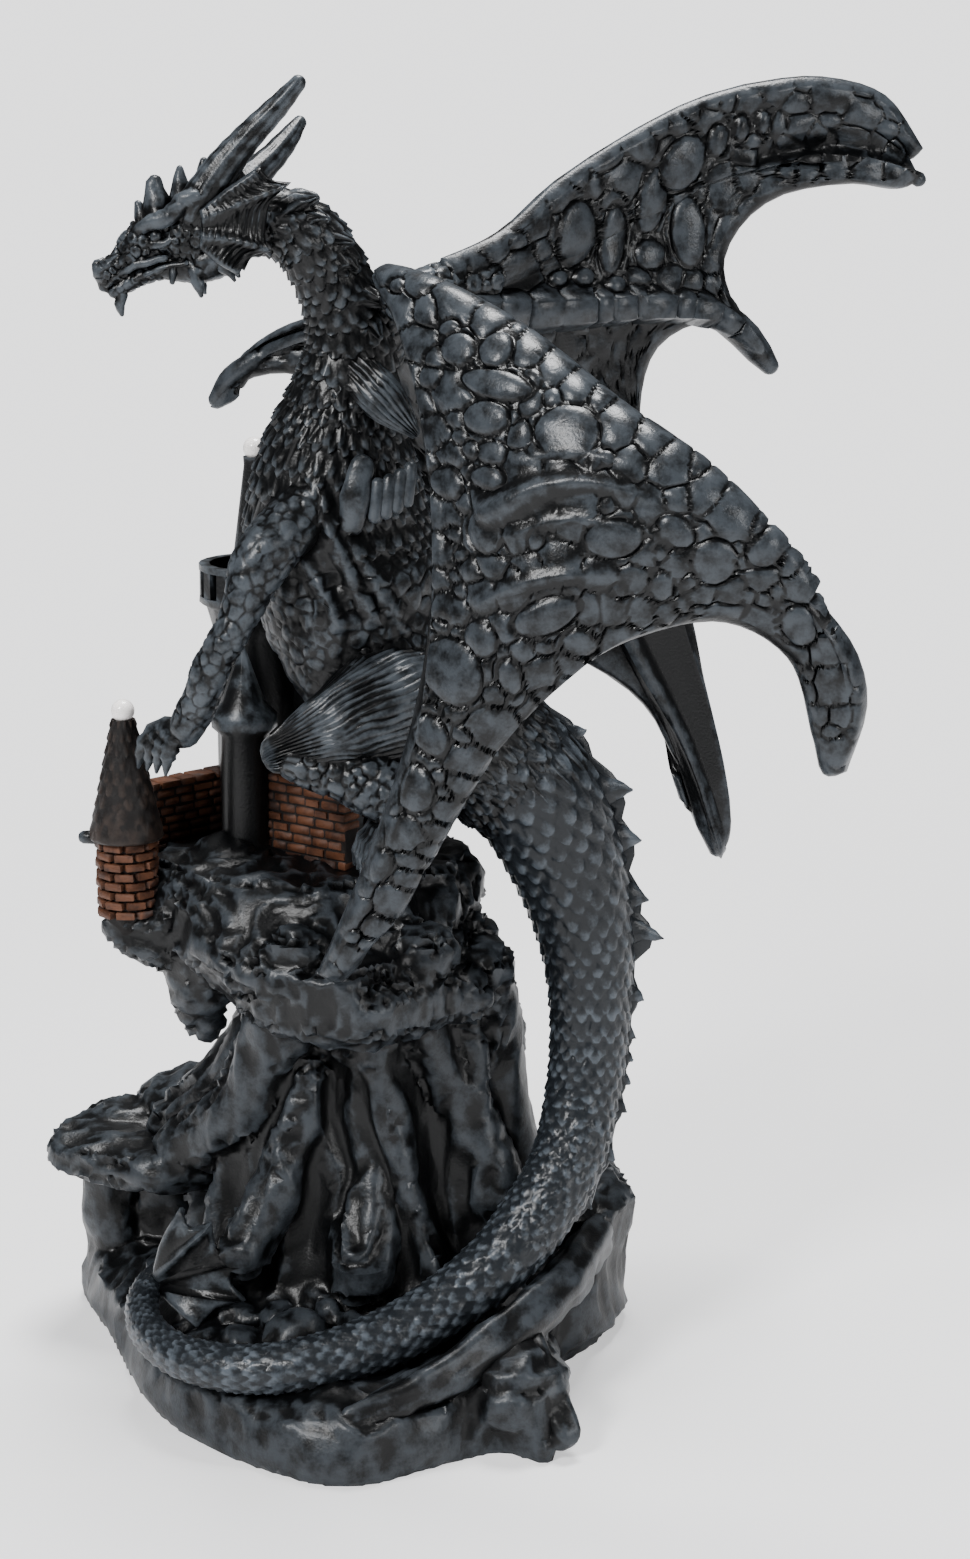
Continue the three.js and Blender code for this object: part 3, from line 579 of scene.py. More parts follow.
# One thin sheet along the back of the tail, its free edge drawn out to spikes
def makeFin():
    line = smoothLine(trunk["body"][:-1] + trunk["tail"][1:])
    line = line[line[:, 0] > fin["start"]]  # past the hips
    line = line[(line[:, 2] < fin["from"]) & (line[:, 2] > fin["to"])]
    line = pick(line, np.linspace(0, 1, fin["rows"]))
    heading = unit(np.gradient(line[:, :3], axis=0))
    away = unit(np.cross(heading, (0, 1, 0)))
    level = line[:, 2]
    reach = np.full(fin["rows"], fin["low"])
    for z, tip, foot in fin["spikes"]:
        reach = np.maximum(reach, fin["web"] * tip * softStep(1.2 - np.abs(level - z) / foot))
    share = np.linspace(0, 1, fin["columns"])
    out = line[:, 3:] * (fin["sunk"] + (1 - fin["sunk"]) * share) + reach[:, None] * share
    sheet = line[:, None, :3] + away[:, None] * out[..., None]
    sheet = sheet + heading[:, None] * (fin["webLean"] * reach[:, None] * share)[..., None]
    half = (fin["half"] * (1 - 0.8 * share))[None] * (0.8 + 0.25 * softNoise(sheet, 2.5, 20))
    across = unit(np.cross(heading, away))[:, None] + 0 * sheet
    addShell("tailFin", pillow(sheet, across, half, half), litTailPaint)
    for z, tip, foot in fin["spikes"]:
        k = np.argmin(np.abs(level - z))
        root = line[k, :3] + away[k] * line[k, 3] * fin["sunk"] - heading[k] * foot * 0.3
        waist = line[k, :3] + away[k] * (line[k, 3] + tip * 0.35)
        point = line[k, :3] + away[k] * (line[k, 3] + tip) + heading[k] * tip * fin["spikeLean"]
        path = [(*root, foot), (*waist, foot * 0.42), (*point, 0.4)]
        points, out, radius, angle = limb(path, 24, 28, across=across[k, 0], depth=0.42, dome=3)
        addShell("finSpike", points + out * (0.3 * softNoise(points, 1.6, 23))[..., None], litTailPaint)


def makeTrunk():
    points, out, radius, angle = limb(trunk["neck"], 150, 128, depth=0.94)
    rows = scaleRows(points, radius, 2 * np.pi / trunk["neckScales"] * 0.8)
    wobble = 0.3 * softNoise(points, 7, 5)
    around = angle / (2 * np.pi) * trunk["neckScales"] + wobble
    blocks = overlapScales(rows + wobble, around, 0.5, trunk["neckScales"], 0.16)
    addShell("neck", raised(points, out, radius, blocks * 1.7 - 0.5), resin)
    points, out, radius, angle = limb(trunk["body"], 210, 240, depth=0.94)
    stones = scatterStones(points, [(2, 2500), (1.3, 5000)], 3)
    pebbles = cobbles(points, stones, 0.9, 0.25)
    rows = scaleRows(points, radius, 2 * np.pi / trunk["chestScales"] * 0.85)
    wobble = 0.35 * softNoise(points, 8, 6)
    around = angle / (2 * np.pi) * trunk["chestScales"] + wobble
    scales = overlapScales(rows + wobble, around, 1.3, trunk["chestScales"], 0.18)
    belly = softStep((trunk["bellyTop"] - points[..., 2] + 7 * softNoise(points, 12, 8)) / 6)
    belly = belly * softStep((26 - points[..., 0]) / 8)
    soft = pebbles * 0.6 + 1.6 * softNoise(points, 9, 4) + 0.5 * softNoise(points, 3, 7)
    rise = belly * soft + (1 - belly) * (scales * 1.6 - 0.4)
    addShell("body", raised(points, out, radius, rise + crests(points, trunk["folds"])), resin)
    tails = (("tail", trunk["tailScales"], 230, 144), ("tip", trunk["tipScales"], 280, 84))
    for name, count, rings, sides in tails:
        points, out, radius, angle = limb(trunk[name], rings, sides, depth=0.96)
        rows = scaleRows(points, radius, 2 * np.pi / count * 0.72)
        scales = overlapScales(rows, angle / (2 * np.pi) * count, 0.8, count, 0.08)
        rise = (scales - 0.35) * trunk["scaleRise"] * np.sqrt(radius / 10)
        addShell(name, raised(points, out, radius, rise), litTailPaint)
    sheet, out, half, gap, t = wingSheet(trunk["leaf"])
    addShell("leaf", pillow(sheet, out, half, half), resin)
    makeFin()
    print("trunk")


head = {
    "face": -12,
    "skull": [(-52, 0, 268, 2.6), (-50, 0, 268.8, 3), (-47, 0, 270.5, 3.5), (-43.5, 0, 273.4, 4.7),
              (-38, 0, 276, 5.8), (-32, 0, 277.6, 7.2), (-24, 0, 278.6, 7.8), (-14, 1.5, 279.6, 7)],
    "jaw": [(-50, 0, 263.6, 1.3), (-47.5, 0, 265.2, 1.7), (-44, 0, 267.2, 2), (-38.6, 0, 269, 2.4),
            (-31, 0, 269.6, 3.8), (-25, 0, 272, 4.6)],
    "middleSpikes": [
        [(-52.2, 0, 267.4, 2.2), (-52, 0, 265.4, 1.5), (-51, 0, 263.8, 0.7)],
        [(-48.4, 0, 263.4, 1.5), (-48.8, 0, 261, 1.2), (-48.3, 0, 258.6, 0.5)],
        [(-47.4, 0, 271.4, 1.3), (-48.2, 0, 273.5, 0.8)],
        [(-45.6, 0, 273.4, 1.5), (-46.8, 0, 275.8, 0.9)],
        [(-43.6, 0, 276, 1.8), (-45.1, 0, 278.6, 1)],
        [(-42.2, 0, 277, 2.3), (-43.4, 0, 280.6, 1.7), (-44, 0, 283.2, 0.9)],
        [(-39, 0, 279, 3.4), (-39.8, 0, 284.4, 2.9), (-40.2, 0, 288, 1.7)],
        [(-33.5, 0, 282, 3.6), (-34.2, 0, 286.4, 2.3), (-34.4, 0, 291, 0.8)],
        [(-28.5, 0, 284, 3.4), (-29, 0, 288.4, 2.1), (-29, 0, 292.8, 0.8)],
        [(-21.5, 0, 286, 3), (-21.8, 0, 290, 1.8), (-21.8, 0, 294.6, 0.8)],
    ],
    "pairs": [
        [(-45.4, 2.6, 276.2, 0.9), (-41, 4.9, 279, 1.6), (-36.2, 6.2, 281.4, 2.1), (-31, 6.4, 285.4, 2.2)],
        [(-42.2, 3.9, 275, 0.7), (-39.4, 5.1, 274.4, 0.9), (-36.4, 5.7, 275.6, 0.8)],
        [(-51.6, 1.2, 265.4, 0.7), (-48.3, 2.4, 267.9, 0.8), (-43.5, 3.7, 270.2, 0.9),
         (-37.8, 4.8, 271.6, 0.8)],
        [(-49, 0.9, 264.2, 0.5), (-45, 2, 266.6, 0.7), (-38.6, 3.4, 269.2, 0.7), (-33, 4.4, 270.4, 0.7)],
        [(-51.9, 1.7, 269.2, 1.1), (-50.6, 2.1, 270.2, 1.2), (-48.8, 2, 271.6, 0.8)],
        [(-49, 2.2, 269.4, 0.8), (-45.4, 3.4, 272.8, 0.9), (-43.4, 4, 274.6, 0.8)],
        [(-31, 4, 268.4, 1.7), (-30.4, 4.5, 265.6, 1.2), (-29.8, 4.6, 263.2, 0.5)],
        [(-25, 4, 271.5, 1.8), (-23.4, 5, 269, 1.3), (-22.2, 6, 266.8, 0.5)],
        [(-36, 4, 268.6, 1.2), (-36.2, 4.4, 266.2, 0.6)],
    ],
    "eye": (-39.6, 4.3, 276.4, 1.5),
    "horns": [
        [(-31, -15, 282, 4.6), (-25.5, -15.5, 290, 4), (-19, -16, 297.6, 3.2), (-12, -16.6, 304.6, 2.5),
         (-7.2, -17, 309.8, 1.7)],
        [(-25, -8, 282, 4.4), (-20.5, -3, 287.4, 3.8), (-15, 3, 292.6, 3.1), (-11, 8, 297.4, 2.4),
         (-8.8, 10.4, 300.6, 1.6)],
    ],
    "frill": {
        "fingers": [[(-30, 6.6, 282), (-23.5, 7.6, 287), (-17, 8, 291.2)],
                    [(-30, 7, 279.5), (-20, 8.2, 283.6), (-10, 8.8, 287.6)],
                    [(-30, 7.2, 276.5), (-21, 8.4, 275.6), (-13.6, 8.9, 273.3)],
                    [(-30, 7, 274), (-25.5, 7.8, 270.4), (-21, 8, 267.8)]],
        "hems": [[(-14.6, 8.2, 288.4)], [(-13.6, 8.2, 284), (-14.6, 8, 279.6), (-14.8, 8.4, 275.4)],
                 [(-17.4, 8.3, 272.4), (-19.6, 8, 270.4)]],
        "columns": [18, 30, 22], "rows": 60, "half": 0.7, "roll": 1, "rimRise": 0.8, "bone": (1.5, 0.9),
        "boneStarts": [0, 0], "billow": 0, "calm": (0, 1),
    },
    "mane": [(-11, -9.5, 282), (-7, -9.5, 278), (-3.5, -9.4, 273.5), (0, -9, 268), (3, -8.4, 261),
             (5, -7.6, 254)],
}


def makeHead():
    middle = head["face"]

    def move(path, side=1):
        return [(x, side * y + middle, *rest) for x, y, *rest in path]

    points, out, radius, angle = limb(move(head["skull"]), 120, 96, depth=0.86)
    stones = scatterStones(points, [(1.3, 900), (0.85, 3000)], 11)
    x, y, z, r = head["eye"]
    mirrored = np.stack([points[..., 0], np.abs(points[..., 1] - middle), points[..., 2]], -1)
    deep = np.linalg.norm(mirrored - (x, y, z), axis=-1)
    socket = 1.7 * np.exp(-(deep / 2.3) ** 2)
    bumps = cobbles(points, stones, 0.6, 0.5) * 0.7 + 0.9 * softNoise(points, 3.2, 13)
    addShell("skull", raised(points, out, radius, bumps - socket), resin)
    points, out, radius, angle = limb(move(head["jaw"]), 60, 44, depth=1.25)
    stones = scatterStones(points, [(1.1, 500), (0.8, 900)], 12)
    addShell("jaw", raised(points, out, radius, cobbles(points, stones, 0.6, 0.5) * 0.4), resin)
    for path in head["middleSpikes"]:
        points, out, radius, angle = limb(move(path), 18, 20)
        addShell("crownSpike", raised(points, out, radius, 0.5 * softNoise(points, 1.6, 18)), resin)
    for side in (-1, 1):
        for path in head["pairs"]:
            points, out, radius, angle = limb(move(path, side), 30, 24)
            rough = 0.6 * softNoise(points, 1.4, 16) + 0.3 * softNoise(points, 2.8, 17)
            addShell("faceRidge", raised(points, out, radius, rough), resin)
        ball = move([(x, y - 0.3, z, r), (x, y + 0.3, z, r)], side)
        addShell("eye", limb(ball, 4, 20, across=(1, 0, 0))[0], resin)
        frill = dict(head["frill"])
        for part in ("fingers", "hems"):
            frill[part] = [move(row, side) for row in frill[part]]
        sheet, out, half, gap, t = wingSheet(frill)
        ribs = 0.26 * np.cos(t * 64)[:, None] * softStep(gap / 1.5)
        addShell("frill", pillow(sheet, out, half + ribs, half + ribs), resin)
    for path in head["horns"]:
        points, out, radius, angle = limb(path, 70, 64)
        level = points[..., 2]
        groove = 0.5 * np.abs(np.cos(angle * 4.5 + level * 0.05)) ** 0.6 + 0.08 * np.cos(level * 2.2)
        addShell("horn", raised(points, out, radius, (groove - 0.35) * radius / 4), resin)
    for i, (x, y, z) in enumerate(head["mane"]):
        for shift, lean in ((-3.6, -1.2), (0, 0), (3.6, 1.2)):
            tip = (x + 6.4 + 1.6 * math.sin(3 * i + shift), y + shift + lean, z + 2.6 - i * 0.6, 1)
            path = [(x - 1, y + shift, z - 1, 3.2), (x + 3, y + shift * 1.1, z + 1.6, 2.8), tip]
            points, out, radius, angle = limb(path, 24, 36)
            strands = 0.4 * np.cos(angle * 8 + 2 * softNoise(points, 3, i))
            addShell("maneTuft", raised(points, out, radius, strands), resin)
    print("head")


legs = {
    "nearArm": [(2, -8, 224, 9), (-8, -15, 213, 7.6), (-16.5, -23, 204.5, 6.2), (-21.5, -25.5, 193, 4.4),
                (-29, -24, 178, 4), (-35, -20, 165, 3.9)],
    "farArm": [(2, 8, 222, 9.5), (-5, 18, 213, 8.4), (-13, 21, 206, 6), (-20, 20, 198, 4.5)],
    "thigh": [(20, 7, 170, 11), (12, 18, 169, 14), (0, 25, 165, 10.5), (-13, 27, 160, 4.6)],
    "shin": [(-9, 27, 159, 5.2), (8, 28, 153, 7), (18, 28, 145, 5.5)],
    # Palm, reach, spread of the digits, drop of the claws
    "hand": [(-36, -19, 163), (-8, 3, -4), (2.5, -2.6, 0), (0, 0, -6)],
    "handRadius": 4,
    "foot": [(17, 28, 144), (-12, 3, -6), (1, 4, 0), (0, 0, -5)],
    "footRadius": 4.6,
    "digits": 4,
    "nearShoulder": [(8, 2, 252, 7), (13, -8, 262, 5.4), (22, -26, 261, 4.2)],
    "farShoulder": [(8, 3, 250, 7), (18, 10, 260, 6.4), (34, 22, 264, 4)],
    "tuft": [(5, -13, 246, 4.4), (11.5, -17, 239.5, 4.8), (18, -18, 232.5, 1.2)],
    "plate": [(3.6, -20.6, 212, 2.9), (4.6, -21.6, 218, 3.5), (6, -20.6, 225, 3)],
    "slats": [(9.4, -21.2, 217.6), (12, -20.8, 218.4), (14.5, -20.3, 219.6), (16.8, -19.6, 221)],
}


def makeHand(palm, reach, spread, drop, radius):
    palm, reach, spread, drop = [np.array(v, float) for v in (palm, reach, spread, drop)]
    for i in np.linspace(-1.2, 1.2, legs["digits"]):
        knuckle = palm + reach * 0.5 + spread * i * 0.8 + (0, 0, 1.6)
        joint = palm + reach * 0.85 + spread * i * 1.1 + (0, 0, -1.5)
        tip = palm + reach + spread * i * 1.2 + drop
        path = [(*palm, radius), (*knuckle, radius * 0.62), (*joint, radius * 0.5), (*tip, 0.4)]
        points, out, r, angle = limb(path, 40, 20)
        rings = 0.22 * np.cos(np.linspace(0, 40, len(points)))[:, None] * (r > 1.2)
        addShell("digit", raised(points, out, r, rings + 0 * angle), resin)


def pebbledLimb(name, path, rings, sides, sizes, seed, rise=0.6):
    points, out, radius, angle = limb(path, rings, sides)
    stones = scatterStones(points, sizes, seed)
    rise = rise * cobbles(points, stones, 0.8, 0.25) + 0.7 * softNoise(points, 6, seed)
    addShell(name, raised(points, out, radius, rise), resin)


def makeLegs():
    pebbledLimb("nearArm", legs["nearArm"], 150, 76, [(1.7, 700), (1.1, 2600)], 21, 0.45)
    makeHand(*legs["hand"], legs["handRadius"])
    pebbledLimb("farArm", legs["farArm"], 60, 48, [(2.4, 500), (1.7, 900)], 22)
    for side in (-1, 1):
        thigh, shin, foot = [[(x, side * y, *rest) for x, y, *rest in legs[part]]
                             for part in ("thigh", "shin", "foot")]
        points, out, radius, angle = limb(thigh, 80, 220 if side < 0 else 90)
        wave = 2.2 * softNoise(points, 7, 2) + 0.05 * points[..., 0]
        hair = np.abs(np.cos(angle * 22 + wave)) ** 0.7 * (0.7 + 0.4 * softNoise(points, 5, 6))
        rise = 0.9 * hair - 0.5 + 0.9 * softNoise(points, 8, 3)
        addShell("thigh", raised(points, out, radius, rise), resin)
        pebbledLimb("shin", shin, 70, 64, [(1.7, 500), (1.1, 1500)], 23 + side, 0.8)
        makeHand(*foot, legs["footRadius"])
    for name in ("nearShoulder", "farShoulder"):
        pebbledLimb(name, legs[name], 70, 72, [(2.3, 500), (1.6, 1500)], 31, 0.9)
    points, out, radius, angle = limb(legs["tuft"], 50, 80, depth=0.7)
    strands = 0.8 * np.abs(np.cos(angle * 9 + 1.6 * softNoise(points, 5, 19))) - 0.4
    addShell("shoulderTuft", raised(points, out, radius, strands), resin)
    points, out, radius, angle = limb(legs["plate"], 40, 48, depth=0.6)
    grain = 0.3 * softNoise(points, 2.2, 14) + 0.3 * softNoise(points, 5, 15)
    addShell("shoulderPlate", raised(points, out, radius, grain), resin)
    for x, y, z in legs["slats"]:
        path = [(x - 0.5, y - 0.4, z - 3.8, 1.5), (x + 0.3, y + 0.3, z + 3.6, 1.6)]
        addShell("slat", limb(path, 8, 18, depth=0.8)[0], resin)
    print("legs")


# Round rim of a sheet
def roundOff(gap, size):
    return np.sqrt(np.clip(1 - (1 - np.clip(gap / size, 0, 1)) ** 2, 0, 1))


# Sheet between finger bones that share a shoulder; its hem hangs in scallops from tip to tip
def wingSheet(wing):
    x = np.linspace(0, 1, wing["rows"])
    t = 0.04 + 0.96 * (0.6 * x + 0.4 * np.sin(x * np.pi / 2))
    fingers = [pick(smoothLine(f), t) for f in wing["fingers"]]
    panels = []
    for i, (left, right) in enumerate(zip(fingers, fingers[1:])):
        ends = [wing["fingers"][i][-1], *wing["hems"][i], wing["fingers"][i + 1][-1]]
        s = np.linspace(0, 1, wing["columns"][i] + 1)
        s = 0.55 * s + 0.45 * (0.5 - 0.5 * np.cos(np.pi * s))
        hem = pick(smoothLine(ends), s)
        between = left[:, None] * (1 - s)[:, None] + right[:, None] * s[:, None]
        sheet = between + (hem - between[-1])[None] * (t ** 1.5)[:, None, None]
        sheet[..., 1] -= wing["billow"] * np.sin(np.pi * s)[None] * np.sin(np.pi * t)[:, None]
        panels.append(sheet if i == 0 else sheet[:, 1:])
    sheet = np.concatenate(panels, axis=1)
    rounds, reach = wing["calm"]
    hold = 0.5 * softStep((reach - np.arange(1, sheet.shape[1] - 1)) / 30)[:, None]
    hold = hold * (1 - softStep((t - 0.45) / 0.35))[:, None, None]
    for _ in range(rounds):
        sheet[:, 1:-1] += hold * ((sheet[:, :-2] + sheet[:, 2:]) / 2 - sheet[:, 1:-1])
    across = unit(np.gradient(sheet, axis=1))
    down = unit(np.gradient(sheet, axis=0))
    out = unit(np.cross(down, across))
    rimLeft = np.linalg.norm(sheet - sheet[:, :1], axis=-1)
    rimRight = np.linalg.norm(sheet - sheet[:, -1:], axis=-1)
    rim = np.minimum(rimLeft, rimRight)
    gap = np.minimum(rim, np.linalg.norm(sheet - sheet[-1:], axis=-1))
    bone = (wing["bone"][0] + (wing["bone"][1] - wing["bone"][0]) * t)[:, None]
    ridge = wing["rimRise"] * np.exp(-(rim / bone - 1) ** 2)
    for finger, start in zip(fingers[1:-1], wing["boneStarts"]):
        size = bone * softStep((t - start) / 0.12)[:, None]
        ridge = np.maximum(ridge, size * np.exp(-np.sum((sheet - finger[:, None]) ** 2, axis=-1) / bone ** 2))
    half = (wing["half"] + ridge) * roundOff(gap, wing["roll"])
    return sheet, out, half, gap, t


# Closed shell with a front and a back, pinched shut along all four edges
def pillow(sheet, out, front, back):
    face = sheet + out * front[..., None]
    rear = sheet - out * back[..., None]
    for side in (face, rear):
        side[-1] = sheet[-1]
        side[0] = sheet[0]
        side[:, 0] = sheet[:, 0]
        side[:, -1] = sheet[:, -1]
    return np.concatenate([face, rear[:, ::-1]], axis=1)


# Long crests that stand out of a sheet
def crests(points, paths):
    height = np.zeros(points.shape[:-1])
    for path in paths:
        for x, y, z, r in pick(smoothLine(path), np.linspace(0, 1, 60)):
            far = np.hypot(points[..., 0] - x, points[..., 2] - z) / r
            height = np.maximum(height, r * 0.6 * (1 - softStep(far)))
    return height


# Oval cells with a groove round each, laid over the cobbles
def ovalCells(points, swell, cells, rise):
    for x, z, across, up, lean in cells:
        tilt = math.radians(lean)
        east = (points[..., 0] - x) * math.cos(tilt) - (points[..., 2] - z) * math.sin(tilt)
        north = (points[..., 0] - x) * math.sin(tilt) + (points[..., 2] - z) * math.cos(tilt)
        far = np.hypot(east / across, north / up)
        gap = (far - 1) * min(across, up)
        dome = 0.6 + rise * np.sqrt(np.clip(1 - far ** 2, 0, 1))
        swell = np.where(gap < 0, dome * softStep(-gap / 0.5), swell * softStep(gap / 0.5))
    return swell


# The same ovals as short lines, so that the stones round them leave room
def ovalLines(cells):
    for x, z, across, up, lean in cells:
        tilt = math.radians(lean if up > across else lean + 90)
        reach = 0.8 * abs(up - across)
        run = (reach * math.sin(tilt), 0, reach * math.cos(tilt))
        yield (x - run[0], 0, z - run[2], x + run[0], 0, z + run[2], min(across, up))


nearWing = {
    "fingers": [
        [(8, -10, 267), (15, -28, 258), (20.5, -41, 240), (23, -51, 214), (20, -56, 183), (10, -55, 149),
         (-4, -49, 114)],
        [(10, -10, 271), (19.5, -24, 267.5), (41.5, -42, 255), (67, -57, 237), (89, -65, 221),
         (103.5, -68, 205), (113.5, -67, 192), (116.5, -65, 180), (113, -62, 164.5)],
    ],
    "hems": [[(1.5, -50, 112.4), (7.5, -52.5, 120), (16, -55, 137), (31, -60, 165), (50, -64, 185),
              (66, -67, 195), (85, -68, 198.5), (99, -66, 190), (105, -63.5, 172), (108, -62, 163.4)]],
    "columns": [230], "rows": 260, "half": 2.6, "roll": 5, "rimRise": 1.2, "bone": (4, 2.4), "boneStarts": [],
    "billow": 5,
    "slots": [],  # grooves pressed into the sheet
    "claws": [],
    "crests": [
        [(37, -61, 221, 5), (46, -61, 226.5, 4.6), (56, -61, 228.5, 3.4), (70, -62, 225.5, 2)],
        [(42, -61, 232, 1.6), (54, -61, 234, 2.2), (66, -61, 231, 1.6)],
        [(40, -61, 216.5, 2), (52, -62, 221, 2.4), (66, -62, 219.5, 1.8)],
        [(35, -62, 202, 2), (42, -63, 206.5, 3.2), (51, -63, 209.5, 3), (62, -64, 210, 1.6)],
    ],
    "calm": (0, 1),  # rounds of smoothing, columns it covers
    "ovalRise": 0.7,
    # x, z, half width, half height, lean in degrees
    "ovals": [
        (52, 237.7, 6.6, 5.2, 0), (35.9, 240, 4.8, 3.6, -5), (29.8, 253, 3.6, 3.3, 0),
        (37.2, 252.7, 3.4, 3.1, 0), (37.6, 246.5, 7.4, 3, 10), (36.4, 228, 3.6, 2.6, 0),
        (28.4, 226, 3.2, 3.7, 0), (35.9, 217, 3.5, 4.8, 0), (61.3, 217.5, 6.2, 4, -12),
        (47.4, 200.7, 7.5, 3.5, -28), (34.6, 194.4, 3.3, 4.1, 0), (39.6, 187.2, 2.4, 4.1, 0),
        (28.8, 186.5, 5.8, 7.4, 0), (71, 208, 2.7, 3.4, 0), (54.1, 195.4, 4.1, 3.1, 0),
        (81.9, 213.3, 4.9, 4.9, 0), (92.2, 215, 3.9, 3.1, 0), (46.7, 258.5, 4.1, 3, 20),
        (74, 219.5, 4.3, 3, 30), (101, 199, 4, 5, -30), (20, 160, 3.6, 5.6, 12), (24, 172, 3.4, 4.6, 0),
        (12, 142, 2.8, 4.4, 20),
    ],
    "stones": [(4.2, 60), (3.3, 300), (2.5, 1200), (1.7, 2400)], "cobbleFloor": 0,
}

farWing = {
    "fingers": [
        [(19, 8, 268), (37, 24, 275), (51, 35, 286.5), (70, 46, 298), (86, 54, 305.5), (102, 58, 309.5),
         (118, 62, 310.5), (133.5, 65, 306), (143.5, 66, 293)],
        [(20, 8, 264), (40, 26.5, 267), (62, 43, 275), (84, 54.3, 283), (104, 59.5, 288), (126, 62, 289.5),
         (142.5, 62.5, 285.5)],
        [(20, 8, 261), (38, 26, 256.5), (57, 38, 256), (77, 48, 256), (91, 54, 254), (98, 56, 249),
         (104, 57, 242.4)],
        [(19, 10, 258), (38, 36, 233), (56, 50, 201), (72, 57, 169), (86, 60, 141), (96, 60, 110.5)],
        [(16, 10, 260), (6, 36, 254), (-5, 52, 250), (-14, 61, 247.5), (-23, 66, 243.5), (-31, 69, 237),
         (-36.5, 70, 228)],
    ],
    "hems": [
        [(141.5, 65, 290.8), (139.5, 64, 289.6), (141, 63, 288)],
        [(138, 61, 283.5), (124, 60, 284.5), (107, 58, 281.5), (98, 56, 275), (93.5, 55, 266),
         (95, 55, 258), (99.4, 56, 250.6), (103.2, 57, 244.4)],
        [(102.4, 57, 243), (97, 57, 247.4), (88, 56, 250.5), (77, 56, 244), (73, 57, 226), (78, 58, 200),
         (93, 61, 150), (98.5, 60.5, 118)],
        [(90.5, 60, 117), (83, 60, 138), (75, 60, 152), (60, 58, 163.5), (34, 58, 174), (8, 61, 200),
         (-10, 65, 235), (-24, 68, 236), (-32, 70, 231), (-34.5, 70, 227.5)],
    ],
    "columns": [50, 90, 90, 120], "rows": 170, "half": 2, "roll": 3.4, "rimRise": 0.3, "bone": (3.6, 2.2),
    "boneStarts": [0.6, 0, 0], "billow": 0,
    "claws": [
        [(82, 51.5, 256, 2.4), (90, 54.5, 254, 3.5), (97.5, 56, 249, 3.9), (102.6, 57, 243.4, 3.4),
         (105.4, 57, 240, 2.4)],
        [(80, 59, 153, 2), (88, 60, 135, 3.2), (93, 60, 120, 3.4), (95, 60, 113.5, 2.4)],
        [(134, 62, 288.4, 1.6), (139.5, 62, 286.8, 1.7), (142, 62, 285.6, 1.9)],
        [(-24, 67.5, 240.5, 2.8), (-31, 69, 235.5, 2.8), (-35, 70, 230, 2)],
    ],
    "slots": [[(100, 58, 289, 1.5), (106, 59, 291.5, 5), (122, 62, 293.5, 6), (138, 64, 290.5, 6)]],
    "crests": [],
    "calm": (900, 105),
    "ovalRise": 1.1,
    "ovals": [
        (54.7, 273.6, 4.9, 8.6, 8), (64, 271.6, 3.5, 9.4, 4), (73.8, 281, 3.9, 8.6, 10),
        (83.6, 273, 4.6, 9, -4), (73.6, 267.6, 4, 4, 0), (81.5, 290, 5.4, 7.6, 32),
        (90.5, 295.4, 2.8, 4.3, 10), (96.4, 298.4, 2.2, 3.5, 5), (101.8, 299.8, 2, 3.3, 0),
        (50.6, 262.6, 2.4, 2.2, 0), (57, 262.6, 2.8, 2.4, 0), (65, 260.6, 2.6, 2.2, 0),
    ],
    "stones": [(4, 160), (3.2, 600), (2.3, 1600)], "cobbleFloor": 172,
}


def makeWings():
    for name, wing, seed in (("nearWing", nearWing, 41), ("farWing", farWing, 52)):
        sheet, out, half, gap, t = wingSheet(wing)
        sheet[..., 1] += crests(sheet, wing["slots"])
        flat = sheet * (1, 0, 1)
        folds = crests(sheet, wing["crests"])
        stones = scatterStones(flat, wing["stones"], seed, ovalLines(wing["ovals"]))
        swell = ovalCells(flat, 0.9 * cobbles(flat, stones, 0.75), wing["ovals"], wing["ovalRise"])
        swell = swell * softStep(gap / wing["roll"]) * (1 - 0.85 * softStep(folds / 1.2))
        swell = swell * softStep((sheet[..., 2] - wing["cobbleFloor"]) / 20) + folds
        near, rear = half + swell, half + 0.25 * swell
        if out[..., 1].mean() > 0:
            near, rear = rear, near
        addShell(name, pillow(sheet, out, near, rear), shadedWingPaint)
        for path in wing["claws"]:
            addShell("wingClaw", limb(path, 30, 28)[0], shadedWingPaint)
    print("wings")


makeRock()
makeCastle()
makeTrunk()
makeHead()
makeLegs()
makeWings()

# All the shells melt into one casting, then the flat parts give up faces
first = shells.objects["rock"]
shells.objects.unlink(first)
bpy.context.scene.collection.objects.link(first)
fuse = first.modifiers.new("fuse", "BOOLEAN")
fuse.operation = "UNION"
fuse.solver = "MANIFOLD"
fuse.operand_type = "COLLECTION"
fuse.collection = shells
fuse.material_mode = "TRANSFER"
fused = bakedMesh(first)
fused.name = "dragonCasting"
for shell in list(shells.objects) + [first]:
    bpy.data.objects.remove(shell)
bpy.data.collections.remove(shells)
casting = newObject("dragonCasting", fused)
fused.calc_loop_triangles()
print("fused", len(fused.loop_triangles))
thin = casting.modifiers.new("thin", "DECIMATE")
thin.ratio = min(1, faceLimit / len(fused.loop_triangles))
lean = bakedMesh(casting)
casting.modifiers.clear()
casting.data = lean
lean.calc_loop_triangles()
print("thinned", len(lean.loop_triangles), [m.name for m in lean.materials])


